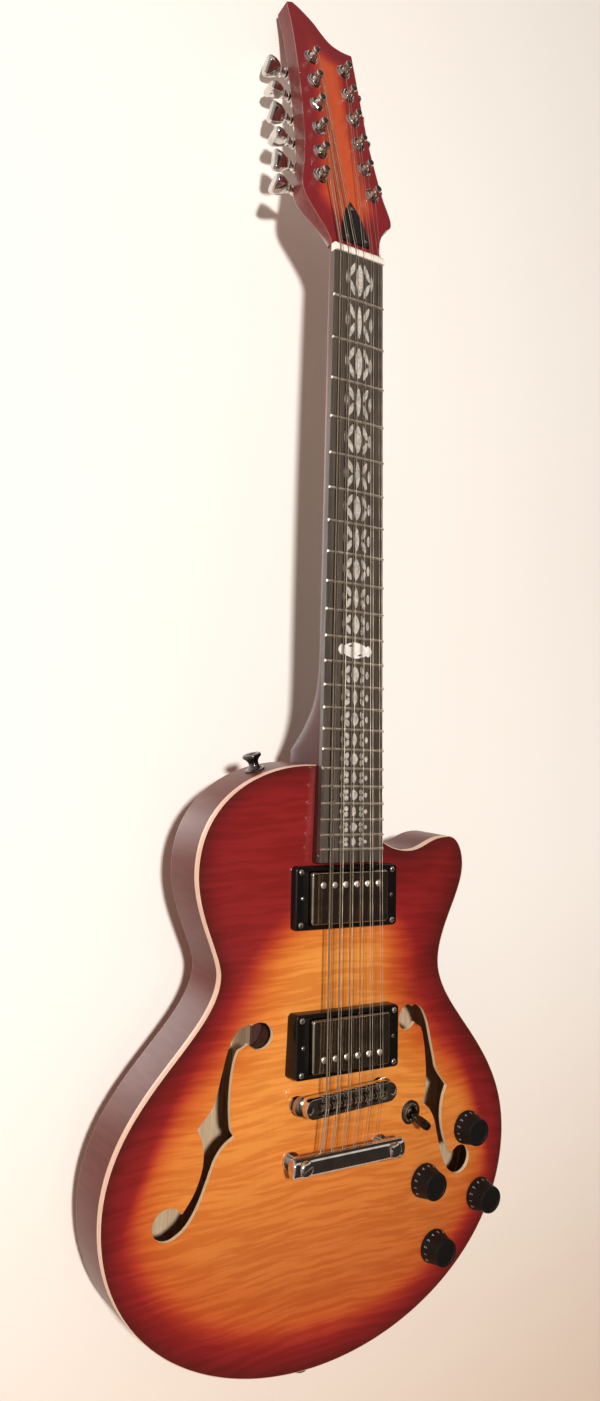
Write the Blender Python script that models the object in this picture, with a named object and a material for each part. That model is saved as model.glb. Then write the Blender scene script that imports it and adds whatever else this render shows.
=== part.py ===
"""Twelve-string semi-hollow electric guitar with a single cutaway, as separate solids.

World frame: X to the treble side, Y to the back, Z up towards the headstock. The origin is the
middle of the fretboard's top face at the nut. The body's rim plane is upright and the neck leans
back from it, so the neck, its strings and the hardware are modelled in the neck's own frame, and
the headstock and its tuners in a frame that tips back once more.
"""
import math

import bmesh
import bpy
from mathutils import Matrix, Vector

MM = 0.001
GAP = 0.3 * MM                      # between solids that touch on the real guitar

# Neck and scale
SCALE_LENGTH = 628.65 * MM
FRET_COUNT = 22
NECK_ANGLE = math.radians(4.0)
NUT_WIDTH = 46.2 * MM
LAST_FRET_WIDTH = 57.2 * MM
BOARD_THICKNESS = 5.5 * MM
BOARD_CROWN = 0.9 * MM
BOARD_LENGTH = 462.0 * MM
FRET_WIDTH = 2.2 * MM
FRET_HEIGHT = 1.1 * MM
NUT_LENGTH = 6.0 * MM
NUT_HEIGHT = 1.3 * MM
SHAFT_DEPTH_AT_NUT = 15.0 * MM
SHAFT_DEPTH_AT_HEEL = 16.4 * MM
HEEL_START = 296.0 * MM
HEEL_FULL = 379.0 * MM
HEEL_SWEEP = 2.0
TENON_DEPTH = 30.0 * MM

# Headstock
HEAD_TILT = math.radians(14.0)
HEAD_DROP = 3.0 * MM
HEAD_THICKNESS = 15.0 * MM
HEAD_ROOT = 7.0 * MM
HEAD_BASS_EDGE = ((23.3, 7), (24.2, 13), (29, 23), (35, 33), (40.4, 43), (43, 53), (41.2, 65),
                  (37.2, 83), (33.9, 105), (32.4, 127), (31, 150), (30.2, 172), (30.4, 214),
                  (32.4, 239.5))
HEAD_TREBLE_EDGE = ((23.3, 7), (23.3, 15), (26.6, 26), (32.5, 36), (39.2, 42), (40.9, 48),
                    (39.8, 56), (36.5, 70), (33.2, 97), (31, 120), (29.9, 150), (28.4, 212),
                    (20, 211.5), (11.2, 212.7), (4.6, 216), (-2, 222.6), (-8.6, 230),
                    (-19.6, 238.2), (-27, 242))
TRUSS_COVER_WIDTH = 25.0 * MM
TRUSS_COVER_FOOT = 13.0 * MM
TRUSS_COVER_TIP = 52.0 * MM
TRUSS_COVER_THICKNESS = 2.0 * MM

# Tuners, counted from the nut
TUNER_COUNT = 6
TUNER_FIRST = 68.0 * MM
TUNER_PITCH = 24.2 * MM
TUNER_OFFSETS = (25.1, 21.5, 19.2, 17.9, 16.6, 16.0)
TUNER_AXIS_DEPTH = 22.0 * MM
HOUSING_WIDTH = 14.0 * MM
HOUSING_LENGTH = 17.0 * MM
HOUSING_HEIGHT = 11.5 * MM
STRIP_THICKNESS = 1.2 * MM
STRIP_WIDTH = 12.0 * MM
POST_RADIUS = 3.0 * MM
POST_WAIST = 2.3 * MM
POST_HEIGHT = 10.0 * MM
BUSH_RADIUS = 4.0 * MM
FERRULE_RADIUS = 5.3 * MM
FERRULE_HEIGHT = 2.2 * MM
KEY_SHAFT_RADIUS = 2.0 * MM
KEY_STEM = 16.5 * MM
KEY_LENGTH = 14.0 * MM
KEY_WIDTH = 17.0 * MM
KEY_THICKNESS = 8.0 * MM
KEY_TURNS = {-1: (70, 25, 80, 50, 95, 60), 1: (40, 85, 20, 75, 55, 90)}

# Body plan: half widths and distances below the shoulder line
SHOULDER_Z = -390.6 * MM
RIM_Y = -18.9 * MM
BODY_DEPTH = 44.5 * MM
BACK_EDGE_RADIUS = 4.0 * MM
BODY_LENGTH = 444.5 * MM
LOWER_HALF = 178.9 * MM
LOWER_AT = 303.0 * MM
WAIST_HALF = 99.2 * MM
WAIST_AT = 149.8 * MM
UPPER_HALF = 121.3 * MM
UPPER_AT = 75.0 * MM
HORN_HALF = 120.0 * MM
HORN_AT = 78.0 * MM
HORN_TIP = (103.5 * MM, 53.5 * MM)
SCOOP = (62.3 * MM, 64.0 * MM)
SCOOP_END = 49.0 * MM
BINDING_WIDTH = 1.9 * MM
TOP_THICKNESS = 5.5 * MM
ARCH_HEIGHT = 12.0 * MM
ARCH_CENTRE = 260.0 * MM
ARCH_SHAPE = 1.1
FACE_RINGS = (0.9, 0.76, 0.6, 0.42, 0.2)
SEAM_RINGS = (0.88, 0.6, 0.25)
RIM_WALL = 8.5 * MM
CENTRE_BLOCK_HALF = 64.0 * MM
BACK_THICKNESS = 6.5 * MM
CHAMBER_TOP = 128.0 * MM
TAIL_BLOCK = 32.5 * MM

# Sound holes: distances from the centre line and below the shoulder line
UPPER_EYE = (67.0, 192.6)
UPPER_EYE_RADIUS = 9.7 * MM
LOWER_EYE = (130.4, 313.3)
LOWER_EYE_RADIUS = 11.5 * MM
HOLE_INNER_EDGE = ((69, 192), (77.5, 199.3), (83.3, 203.4), (87, 218), (88.5, 238), (87.4, 254),
                   (84.5, 259.8), (92.5, 266), (98.5, 275), (103, 288), (108, 302.5), (115, 314),
                   (124, 324))
HOLE_OUTER_EDGE = ((130, 322), (128, 313), (121.5, 308.4), (112.8, 295), (108, 281), (107, 270),
                   (108.6, 260), (112.3, 251.5), (101.2, 238), (98, 228), (94, 213), (90, 199),
                   (83.5, 188), (74, 183.4))

# Pickups
RING_LENGTH = 93.0 * MM
RING_WIDTH = 46.5 * MM
RING_CORNER = 3.5 * MM
COVER_LENGTH = 69.0 * MM
COVER_WIDTH = 38.0 * MM
COVER_CORNER = 2.5 * MM
COVER_DEPTH = 17.0 * MM
POLE_SPACING = 10.0 * MM
POLE_ROW = 9.3 * MM
POLE_RADIUS = 2.4 * MM
NECK_PICKUP_OFFSET = 25.4 * MM      # its middle below the end of the fretboard
PICKUPS = {
    "neck": {"at": BOARD_LENGTH + NECK_PICKUP_OFFSET, "ring_face": 5.6 * MM, "cover_face": 1.3 * MM, "row": 1},
    "bridge": {"at": 591.7 * MM, "ring_face": 1.9 * MM, "cover_face": -2.4 * MM, "row": -1},
}

# Bridge and tailpiece
BRIDGE_AT = 632.0 * MM
BRIDGE_SLANT = math.radians(2.9)
BRIDGE_LENGTH = 81.0 * MM
BRIDGE_WIDTH = 14.5 * MM
BRIDGE_FACE = -4.2 * MM
BRIDGE_HEIGHT = 10.2 * MM
BRIDGE_POST_SPAN = 74.0 * MM
BRIDGE_POST_RADIUS = 2.5 * MM
THUMBWHEEL_RADIUS = 7.0 * MM
THUMBWHEEL_HEIGHT = 3.2 * MM
SADDLE_TOP = -6.0 * MM
TAIL_AT = 673.4 * MM
TAIL_LENGTH = 99.0 * MM
TAIL_FACE = -3.6 * MM
TAIL_WIDTH = 15.0 * MM
TAIL_HEIGHT = 9.5 * MM
TAIL_STUD_SPAN = 79.0 * MM
TAIL_STUD_RADIUS = 4.0 * MM
POST_SINK = 12.0 * MM

# Strings, bass to treble in six courses
COURSE_COUNT = 6
COURSE_GAP = 2.3 * MM
NUT_SPREAD = 36.4 * MM
BRIDGE_SPREAD = 48.5 * MM
STRING_RADII = (0.58, 0.3, 0.48, 0.25, 0.4, 0.2, 0.3, 0.16, 0.2, 0.2, 0.15, 0.15)

# Controls: knob places as shares of the lower bout's half width, and of its way down to the tail
KNOB_PLACES = ((0.75685, -0.10671), (0.50587, 0.12862), (0.86417, 0.30106), (0.60369, 0.52792))
KNOB_SKIRT_RADIUS = 13.3 * MM
KNOB_TOP_RADIUS = 10.7 * MM
KNOB_HEIGHT = 15.0 * MM
KNOB_CLEARANCE = 0.6 * MM
KNOB_SHAFT_RADIUS = 3.0 * MM
KNOB_SHAFT_DEPTH = 14.0 * MM
SWITCH_PLACE = (71.3 * MM, 265.0 * MM)
SWITCH_WASHER_RADIUS = 9.3 * MM
SWITCH_WASHER_HEIGHT = 3.2 * MM
SWITCH_BARREL_RADIUS = 5.5 * MM
SWITCH_BARREL_DEPTH = 14.0 * MM
LEVER_RADIUS = 1.6 * MM
LEVER_TIP_RADIUS = 3.4 * MM
LEVER_LENGTH = 25.0 * MM
LEVER_PIVOT_DEPTH = 3.0 * MM
LEVER_REST_TILT = math.radians(10.0)

# Strap buttons and output jack
STRAP_RADIUS = 7.0 * MM
STRAP_WAIST = 3.6 * MM
STRAP_HEIGHT = 12.0 * MM
STRAP_SCREW_RADIUS = 1.8 * MM
STRAP_SCREW_LENGTH = 20.0 * MM
UPPER_STRAP_AT = 0.31
JACK_RADIUS = 5.0 * MM
JACK_BORE = 3.35 * MM
JACK_NUT_RADIUS = 8.0 * MM
JACK_NUT_HEIGHT = 2.6 * MM
JACK_DEPTH = 24.0 * MM

FRAME_BLOCK = 100.0 * MM            # cutters reach this far past what they cut


def clear_scene():
    for thing in list(bpy.data.objects):
        bpy.data.objects.remove(thing, do_unlink=True)


def material(name, colour, roughness, metallic):
    finish = bpy.data.materials.new(name)
    finish.use_nodes = True
    shader = finish.node_tree.nodes["Principled BSDF"]
    shader.inputs["Base Color"].default_value = (*colour, 1.0)
    shader.inputs["Roughness"].default_value = roughness
    shader.inputs["Metallic"].default_value = metallic
    finish.diffuse_color = (*colour, 1.0)
    return finish


def empty(name, parent=None, location=(0, 0, 0), rotation=(0, 0, 0)):
    thing = bpy.data.objects.new(name, None)
    bpy.context.scene.collection.objects.link(thing)
    thing.parent = parent
    thing.location = location
    thing.rotation_euler = rotation
    return thing


def place(name, shape, parent=None, location=(0, 0, 0), rotation=(0, 0, 0), finish=None):
    """Turn a bmesh into a named object."""
    bmesh.ops.recalc_face_normals(shape, faces=shape.faces)
    mesh = bpy.data.meshes.new(name)
    shape.to_mesh(mesh)
    shape.free()
    thing = bpy.data.objects.new(name, mesh)
    bpy.context.scene.collection.objects.link(thing)
    thing.parent = parent
    thing.location = location
    thing.rotation_euler = rotation
    if finish:
        mesh.materials.append(finish)
        mesh.shade_smooth()
        mesh.set_sharp_from_angle(angle=math.radians(35))
    return thing


def combine(target, other, operation):
    """Cut or join a helper object into a target, and leave the helper as a hidden guide."""
    other.hide_render = True
    other.display_type = "WIRE"
    step = target.modifiers.new(f"{operation.lower()} {other.name}", "BOOLEAN")
    step.operation = operation
    step.object = other
    return target


def cut(target, other):
    return combine(target, other, "DIFFERENCE")


def join(target, other):
    return combine(target, other, "UNION")


def add_loft(shape, rings, capped=True):
    """Skin a row of equal rings of points; the ends are closed with flat caps."""
    rows = [[shape.verts.new(point) for point in ring] for ring in rings]
    pairs = list(zip(rows, rows[1:]))
    if not capped:
        pairs.append((rows[-1], rows[0]))
    for lower, upper in pairs:
        for index in range(len(lower)):
            following = (index + 1) % len(lower)
            shape.faces.new((lower[index], lower[following], upper[following], upper[index]))
    if capped:
        shape.faces.new(rows[0])
        shape.faces.new(rows[-1])
    return shape


def loft(rings, capped=True):
    return add_loft(bmesh.new(), rings, capped)


def add_prism(shape, outline, y_front, y_back):
    """A flat outline of (x, z) points given depth along Y."""
    return add_loft(shape, [[Vector((x, y, z)) for x, z in outline] for y in (y_front, y_back)])


def prism(outline, y_front, y_back):
    return add_prism(bmesh.new(), outline, y_front, y_back)


def circle(radius, sides, centre=(0.0, 0.0), start=0.0):
    angles = [start + 2 * math.pi * index / sides for index in range(sides)]
    return [(centre[0] + radius * math.cos(a), centre[1] + radius * math.sin(a)) for a in angles]


def add_turned(shape, profile, sides, axis="Y", at=(0, 0, 0)):
    """A turned solid from (radius, height) points, along +Y or along +X."""
    rings = []
    for radius, height in profile:
        ring = [Vector((x, height, z)) for x, z in circle(radius, sides)]
        if axis == "X":
            ring = [Vector((point.y, point.x, point.z)) for point in ring]
        rings.append([point + Vector(at) for point in ring])
    return add_loft(shape, rings)


def turned(profile, sides, axis="Y"):
    return add_turned(bmesh.new(), profile, sides, axis)


def rounded_box_outline(length, width, corner, steps=3):
    """A rectangle in (x, z) with quarter-circle corners."""
    points = []
    for quarter in range(4):
        sign_x = 1 if quarter in (0, 3) else -1
        sign_z = 1 if quarter in (0, 1) else -1
        centre = (sign_x * (length / 2 - corner), sign_z * (width / 2 - corner))
        for step in range(steps + 1):
            angle = math.pi / 2 * (quarter + step / steps)
            points.append((centre[0] + corner * math.cos(angle),
                           centre[1] + corner * math.sin(angle)))
    return points


def bezier(start, end, handles, steps):
    """Points of a cubic curve from its ends and its two handle vectors, without the last one."""
    first = Vector(start)
    last = Vector(end)
    leave = first + Vector(handles[0])
    arrive = last + Vector(handles[1])
    points = []
    for step in range(steps):
        t = step / steps
        points.append(first * (1 - t) ** 3 + leave * 3 * t * (1 - t) ** 2
                      + arrive * 3 * t * t * (1 - t) + last * t ** 3)
    return points


def bout_curves(side):
    """The shared waist-to-tail curves of one side, as points below the shoulder line."""
    waist = (side * WAIST_HALF, -WAIST_AT)
    lower = (side * LOWER_HALF, -LOWER_AT)
    tail = (0.0, -BODY_LENGTH)
    run = LOWER_AT - WAIST_AT
    drop = BODY_LENGTH - LOWER_AT
    flank = bezier(waist, lower, ((0, -0.28 * run), (0, 0.506 * run)), 7)
    bottom = bezier(lower, tail, ((0, -0.606 * drop), (side * 0.52 * LOWER_HALF, 0)), 8)
    return flank + bottom


def heel_half():
    """Half the width of the neck where it meets the body."""
    return board_half_width(-SHOULDER_Z)


def outline_run():
    """The body's edge from the bass side of the neck, round the tail, to the treble side."""
    start = (-heel_half() - GAP, 0.0)
    upper = (-UPPER_HALF, -UPPER_AT)
    waist = (-WAIST_HALF, -WAIST_AT)
    reach = UPPER_HALF - heel_half()
    run = WAIST_AT - UPPER_AT
    points = bezier(start, upper, ((-0.515 * reach, 0), (0, 0.66 * UPPER_AT)), 7)
    points += bezier(upper, waist, ((0, -0.417 * run), (0, 0.203 * run)), 4)
    points += bout_curves(-1)
    points.append(Vector((0.0, -BODY_LENGTH)))
    points += list(reversed(bout_curves(1)))[:-1]
    waist = (WAIST_HALF, -WAIST_AT)
    horn = (HORN_HALF, -HORN_AT)
    tip = (HORN_TIP[0], -HORN_TIP[1])
    scoop = (SCOOP[0], -SCOOP[1])
    end = (heel_half() + 2 * GAP, -SCOOP_END)
    rise = WAIST_AT - HORN_AT
    points += bezier(waist, horn, ((0, 0.358 * rise), (0, -0.296 * rise)), 4)
    shift = HORN_HALF - HORN_TIP[0]
    lift = HORN_AT - HORN_TIP[1]
    points += bezier(horn, tip, ((0, 0.478 * lift), (0.643 * shift, 0)), 4)
    span = HORN_TIP[0] - SCOOP[0]
    points += bezier(tip, scoop, ((-0.51 * span, 0), (0.415 * span, 0)), 4)
    span = SCOOP[0] - heel_half()
    points += bezier(scoop, end, ((-0.41 * span, 0), (0.19 * span, -0.25 * span)), 3)
    points.append(Vector(end))
    return [Vector((point.x, point.y + SHOULDER_Z)) for point in points]


def inset(points, distance):
    """Move an open run of points inwards, with the body on the left of its direction."""
    moved = []
    for index, point in enumerate(points):
        before = points[max(index - 1, 0)]
        after = points[min(index + 1, len(points) - 1)]
        along = (after - before).normalized()
        moved.append(point + Vector((-along.y, along.x)) * distance)
    return moved


def closed(run):
    """Close a run beside the heel, up to the shoulder line."""
    return run + [Vector((heel_half(), SHOULDER_Z))]


def arch(scale):
    """Height of the arched face over the rim plane, from 0 at the centre to 1 at the edge."""
    return ARCH_HEIGHT * math.cos(math.pi / 2 * scale ** ARCH_SHAPE) ** 2


def ring_points(plan, scale):
    centre = Vector((0.0, SHOULDER_Z - ARCH_CENTRE))
    return [centre + (point - centre) * scale for point in plan]


def arched_rings(edge, plan, base_y, scales):
    """Rings of an arched face at base_y on the rim, from the edge to next to the centre."""
    rings = [[Vector((point.x, base_y, point.y)) for point in edge]]
    for scale in scales:
        height = base_y - arch(scale)
        rings.append([Vector((p.x, height, p.y)) for p in ring_points(plan, scale)])
    return rings


def arched_slab(edge, plan, front_y, back_rings, scales):
    """A slab whose front is arched, and whose back is given as rings from the edge inwards."""
    front = list(reversed(arched_rings(edge, plan, front_y, scales)))
    return loft(front + back_rings)


def arch_at(x, z):
    """Height of the arched face over the rim plane at a place in the body's plan."""
    centre = Vector((0.0, SHOULDER_Z - ARCH_CENTRE))
    ray = Vector((x, z)) - centre
    plan = closed(outline_run())
    for first, second in zip(plan, plan[1:] + plan[:1]):
        edge = second - first
        offset = first - centre
        turn = ray.x * edge.y - ray.y * edge.x
        if abs(turn) < 1e-12:
            continue
        reach = (offset.x * edge.y - offset.y * edge.x) / turn
        along = (offset.x * ray.y - offset.y * ray.x) / turn
        if reach > 0 and 0 <= along <= 1:
            return arch(min(1.0 / reach, 1.0))
    return arch(0.0)


def top_face_y(x, below):
    """Y of the top's face at a place given from the centre line and below the shoulder line."""
    return RIM_Y - arch_at(x, SHOULDER_Z - below)


def head_matrix():
    return Matrix.Translation((0, HEAD_DROP, 0)) @ Matrix.Rotation(-HEAD_TILT, 4, "X")


def board_half_width(distance):
    """Half the fretboard's width at a distance from the nut."""
    last_fret = fret_distance(FRET_COUNT)
    return (NUT_WIDTH + (LAST_FRET_WIDTH - NUT_WIDTH) * distance / last_fret) / 2


def fret_distance(number):
    return SCALE_LENGTH * (1 - 2 ** (-number / 12))


def chamber_outline(side, run):
    """One sound chamber, between the centre block and the rim wall."""
    inner = inset(run, RIM_WALL)
    top = SHOULDER_Z - CHAMBER_TOP
    bottom = SHOULDER_Z - BODY_LENGTH + TAIL_BLOCK
    wall = [p for p in inner if p.x * side > CENTRE_BLOCK_HALF + RIM_WALL and bottom < p.y < top]
    edge = side * CENTRE_BLOCK_HALF
    return [Vector((edge, wall[0].y))] + wall + [Vector((edge, wall[-1].y))]


def sound_hole_cutters(name, side):
    """The stem with its two notches, and the eyes at its ends."""
    def flat(points):
        return [(side * x * MM, SHOULDER_Z - below * MM) for x, below in points]
    front = RIM_Y - FRAME_BLOCK
    back = RIM_Y + TOP_THICKNESS + GAP / 2
    cutters = [place(f"{name}_stem", prism(flat(HOLE_INNER_EDGE + HOLE_OUTER_EDGE), front, back))]
    for end, centre, radius in (("upper", UPPER_EYE, UPPER_EYE_RADIUS),
                                ("lower", LOWER_EYE, LOWER_EYE_RADIUS)):
        eye = circle(radius, 16, flat([centre])[0])
        cutters.append(place(f"{name}_{end}_eye", prism(eye, front, back)))
    return cutters


def block_cutter(name, frame, low, high):
    corners = [(low[0], low[2]), (high[0], low[2]), (high[0], high[2]), (low[0], high[2])]
    return place(name, prism(corners, low[1], high[1]), frame)


def post_cutter(name, frame, places, radius, y_front, y_back, sides=12):
    shape = bmesh.new()
    for x, z in places:
        add_prism(shape, circle(radius, sides, (x, z)), y_front, y_back)
    return place(name, shape, frame)


def bridge_post_places():
    half = BRIDGE_POST_SPAN / 2
    return [(sign * half * math.cos(BRIDGE_SLANT),
             -BRIDGE_AT + sign * half * math.sin(BRIDGE_SLANT)) for sign in (-1, 1)]


def tail_stud_places():
    return [(sign * TAIL_STUD_SPAN / 2, -TAIL_AT) for sign in (-1, 1)]


def knob_places():
    drop = BODY_LENGTH - LOWER_AT
    return [(share * LOWER_HALF, SHOULDER_Z - LOWER_AT - down * drop)
            for share, down in KNOB_PLACES]


def neck_slot(neck_frame):
    """The tapered pocket that the neck and the end of the fretboard sit in, a gap wider."""
    corners = []
    for distance in (HEEL_START, BOARD_LENGTH + GAP):
        half = board_half_width(distance) + GAP
        corners += [(half, -distance), (-half, -distance)]
    outline = [corners[0], corners[1], corners[3], corners[2]]
    return place("neck_slot", prism(outline, -FRAME_BLOCK, TENON_DEPTH + GAP), neck_frame)


def make_body(neck_frame, finishes):
    """The chambered back, the arched top with its sound holes, and the binding round it."""
    run = outline_run()
    plan = closed(run)
    seam_y = RIM_Y + TOP_THICKNESS + GAP
    back_y = RIM_Y + BODY_DEPTH
    back_rings = []
    for quarter in (0, 0.5, 1):
        angle = math.pi / 2 * quarter
        shrink = BACK_EDGE_RADIUS * (1 - math.cos(angle))
        y = back_y - BACK_EDGE_RADIUS * (1 - math.sin(angle))
        edge = closed(inset(run, shrink))
        back_rings.append([Vector((p.x, y, p.y)) for p in edge])
    back = place("body_back", arched_slab(plan, plan, seam_y, back_rings, SEAM_RINGS),
                 finish=finishes["body"])

    top_edge = closed(inset(run, BINDING_WIDTH + GAP))
    under = arched_rings(top_edge, plan, RIM_Y + TOP_THICKNESS, SEAM_RINGS)
    top = place("top_plate", arched_slab(top_edge, plan, RIM_Y, under, FACE_RINGS),
                finish=finishes["top"])

    inner = inset(run, BINDING_WIDTH)
    section = [[Vector((o.x, RIM_Y, o.y)), Vector((o.x, RIM_Y + TOP_THICKNESS, o.y)),
                Vector((i.x, RIM_Y + TOP_THICKNESS, i.y)), Vector((i.x, RIM_Y, i.y))]
               for o, i in zip(run, inner)]
    binding = place("top_binding", loft(section), finish=finishes["binding"])

    for name, side in (("bass", -1), ("treble", 1)):
        outline = chamber_outline(side, run)
        chamber = place(f"{name}_chamber",
                        prism(outline, RIM_Y - FRAME_BLOCK, back_y - BACK_THICKNESS))
        cut(back, chamber)
        for cutter in sound_hole_cutters(f"{name}_hole", side):
            cut(top, cutter)
    slot = neck_slot(neck_frame)
    for piece in (top, back, binding):
        cut(piece, slot)
    for name, size in PICKUPS.items():
        outline = rounded_box_outline(COVER_LENGTH + 4 * MM, COVER_WIDTH + 3 * MM, COVER_CORNER)
        well = place(f"{name}_pickup_well",
                     prism(outline, -FRAME_BLOCK, size["cover_face"] + COVER_DEPTH + 2 * MM),
                     neck_frame, (0, 0, -size["at"]))
        cut(top, well)
        cut(back, well)
    bridge_holes = post_cutter("bridge_post_holes", neck_frame, bridge_post_places(),
                               BRIDGE_POST_RADIUS + 2 * GAP, -FRAME_BLOCK, post_floor() + GAP)
    tail_holes = post_cutter("tail_stud_holes", neck_frame, tail_stud_places(),
                             TAIL_STUD_RADIUS + 2 * GAP, -FRAME_BLOCK, post_floor() + GAP)
    for cutter in (bridge_holes, tail_holes):
        cut(top, cutter)
        cut(back, cutter)
    knob_holes = post_cutter("knob_shaft_holes", None, knob_places(),
                             KNOB_SHAFT_RADIUS + 2 * GAP, RIM_Y - FRAME_BLOCK,
                             RIM_Y + TOP_THICKNESS + GAP / 2)
    cut(top, knob_holes)
    switch_hole = post_cutter("switch_hole", None, [(SWITCH_PLACE[0], SHOULDER_Z - SWITCH_PLACE[1])],
                              SWITCH_BARREL_RADIUS + GAP, RIM_Y - FRAME_BLOCK,
                              RIM_Y + TOP_THICKNESS + GAP / 2, 16)
    cut(top, switch_hole)
    return top, back


def post_floor():
    """Depth in the neck's frame that the bridge posts and tailpiece studs reach."""
    below = BRIDGE_AT * math.cos(NECK_ANGLE) + SHOULDER_Z
    face = Vector((0, top_face_y(0, below), 0))
    upright = (face.y + BRIDGE_AT * math.sin(NECK_ANGLE)) / math.cos(NECK_ANGLE)
    return upright + POST_SINK


def top_clearance(plan):
    """A hidden solid under the arched face, a gap proud of it, that trims what stands on it."""
    back = [[Vector((p.x, RIM_Y + FRAME_BLOCK, p.y)) for p in plan]]
    return place("top_clearance", arched_slab(plan, plan, RIM_Y - GAP, back, FACE_RINGS))


def neck_section(distance, half, depth, power, steps=6):
    """A flat-topped neck section: a superellipse below the fretboard."""
    top = BOARD_THICKNESS + GAP
    ring = []
    for step in range(2 * steps + 1):
        angle = math.pi * step / (2 * steps)
        x = math.copysign(abs(math.cos(angle)) ** (2 / power), math.cos(angle)) * half
        y = top + depth * math.sin(angle) ** (2 / power)
        ring.append(Vector((x, y, -distance)))
    return ring


def heel_depth():
    """Depth of the heel below the fretboard where it meets the body's back."""
    back = RIM_Y + BODY_DEPTH
    at_joint = (back - SHOULDER_Z * math.tan(NECK_ANGLE) * math.cos(NECK_ANGLE))
    return at_joint / math.cos(NECK_ANGLE) - BOARD_THICKNESS - 3 * GAP


def make_neck(neck_frame, head_frame, finishes):
    """Shaft, swept heel, tenon and tilted headstock in one piece."""
    rings = []
    stations = [-HEAD_ROOT - 3 * MM] + [HEEL_START * part / 3 for part in range(4)]
    for distance in stations:
        share = max(distance, 0) / HEEL_START
        depth = SHAFT_DEPTH_AT_NUT + (SHAFT_DEPTH_AT_HEEL - SHAFT_DEPTH_AT_NUT) * share
        rings.append(neck_section(distance, board_half_width(max(distance, 0)), depth, 1.9))
    sweep = HEEL_FULL - HEEL_START
    for share in (0.2, 0.38, 0.54, 0.68, 0.8, 0.9, 1.0):
        distance = HEEL_START + sweep * share
        grown = share ** HEEL_SWEEP
        depth = SHAFT_DEPTH_AT_HEEL + (heel_depth() - SHAFT_DEPTH_AT_HEEL) * grown
        rings.append(neck_section(distance, board_half_width(distance), depth, 1.9 + 5 * share))
    rings.append(neck_section(BOARD_LENGTH, board_half_width(BOARD_LENGTH), heel_depth(), 6.9))
    neck = place("neck", loft(rings), neck_frame, finish=finishes["neck"])

    tilt = math.tan(NECK_ANGLE)
    shoulder = (SHOULDER_Z + GAP) / math.cos(NECK_ANGLE)
    past_end = -BOARD_LENGTH - FRAME_BLOCK
    trim_section = [(TENON_DEPTH, shoulder + TENON_DEPTH * tilt),
                    (FRAME_BLOCK, shoulder + FRAME_BLOCK * tilt),
                    (FRAME_BLOCK, past_end), (TENON_DEPTH, past_end)]
    trim = loft([[Vector((x, y, z)) for y, z in trim_section] for x in (-FRAME_BLOCK, FRAME_BLOCK)])
    cut(neck, place("heel_trim", trim, neck_frame))

    edge = [(-x * MM, along * MM) for x, along in HEAD_BASS_EDGE]
    edge += [(x * MM, along * MM) for x, along in reversed(HEAD_TREBLE_EDGE)]
    head = place("headstock_blank", prism(edge, 0, HEAD_THICKNESS), head_frame)
    join(neck, head)
    cut(neck, post_cutter("bush_holes", head_frame, tuner_places(-1) + tuner_places(1),
                          BUSH_RADIUS + 1.5 * GAP, -FRAME_BLOCK, FRAME_BLOCK))

    cover = [(-TRUSS_COVER_WIDTH / 2, TRUSS_COVER_FOOT), (TRUSS_COVER_WIDTH / 2, TRUSS_COVER_FOOT)]
    rise = TRUSS_COVER_TIP - TRUSS_COVER_FOOT
    sides = [(0.47, 0.25), (0.36, 0.5), (0.2, 0.75), (0.1, 0.9)]
    cover += [(x * TRUSS_COVER_WIDTH, TRUSS_COVER_FOOT + z * rise) for x, z in sides]
    cover.append((0.0, TRUSS_COVER_TIP))
    cover += [(-x * TRUSS_COVER_WIDTH, TRUSS_COVER_FOOT + z * rise) for x, z in reversed(sides)]
    place("truss_rod_cover", prism(cover, -GAP - TRUSS_COVER_THICKNESS, -GAP), head_frame,
          finish=finishes["black"])
    return neck


def make_fretboard(neck_frame, finishes):
    """Crowned, tapered board with its frets, skinned from side to side."""
    profile = [(0.0, 0.0)]
    for number in range(1, FRET_COUNT + 1):
        middle = fret_distance(number)
        profile += [(middle - FRET_WIDTH / 2, 0.0), (middle - FRET_WIDTH / 5, -FRET_HEIGHT),
                    (middle + FRET_WIDTH / 5, -FRET_HEIGHT), (middle + FRET_WIDTH / 2, 0.0)]
    profile += [(BOARD_LENGTH, 0.0), (BOARD_LENGTH, BOARD_THICKNESS), (0.0, BOARD_THICKNESS)]
    rings = []
    for share in (-1, 0, 1):
        ring = []
        for distance, y in profile:
            crown = BOARD_CROWN * share ** 2 if y < BOARD_THICKNESS else 0.0
            ring.append(Vector((share * board_half_width(distance), y + crown, -distance)))
        rings.append(ring)
    place("fretboard", loft(rings), neck_frame, finish=finishes["board"])

    half = NUT_WIDTH / 2
    low = GAP
    high = GAP + NUT_LENGTH
    section = [(low, BOARD_THICKNESS), (low, -NUT_HEIGHT), (low + 2.5 * MM, -NUT_HEIGHT),
               (high, -NUT_HEIGHT + 1.6 * MM), (high, BOARD_THICKNESS)]
    rings = [[Vector((x, y, z)) for z, y in section] for x in (-half, half)]
    place("nut", loft(rings), neck_frame, finish=finishes["bone"])


def tuner_places(side):
    """Post centres of one side in the headstock's frame, as (x, along)."""
    return [(side * offset * MM, TUNER_FIRST + TUNER_PITCH * index)
            for index, offset in enumerate(TUNER_OFFSETS)]


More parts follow.
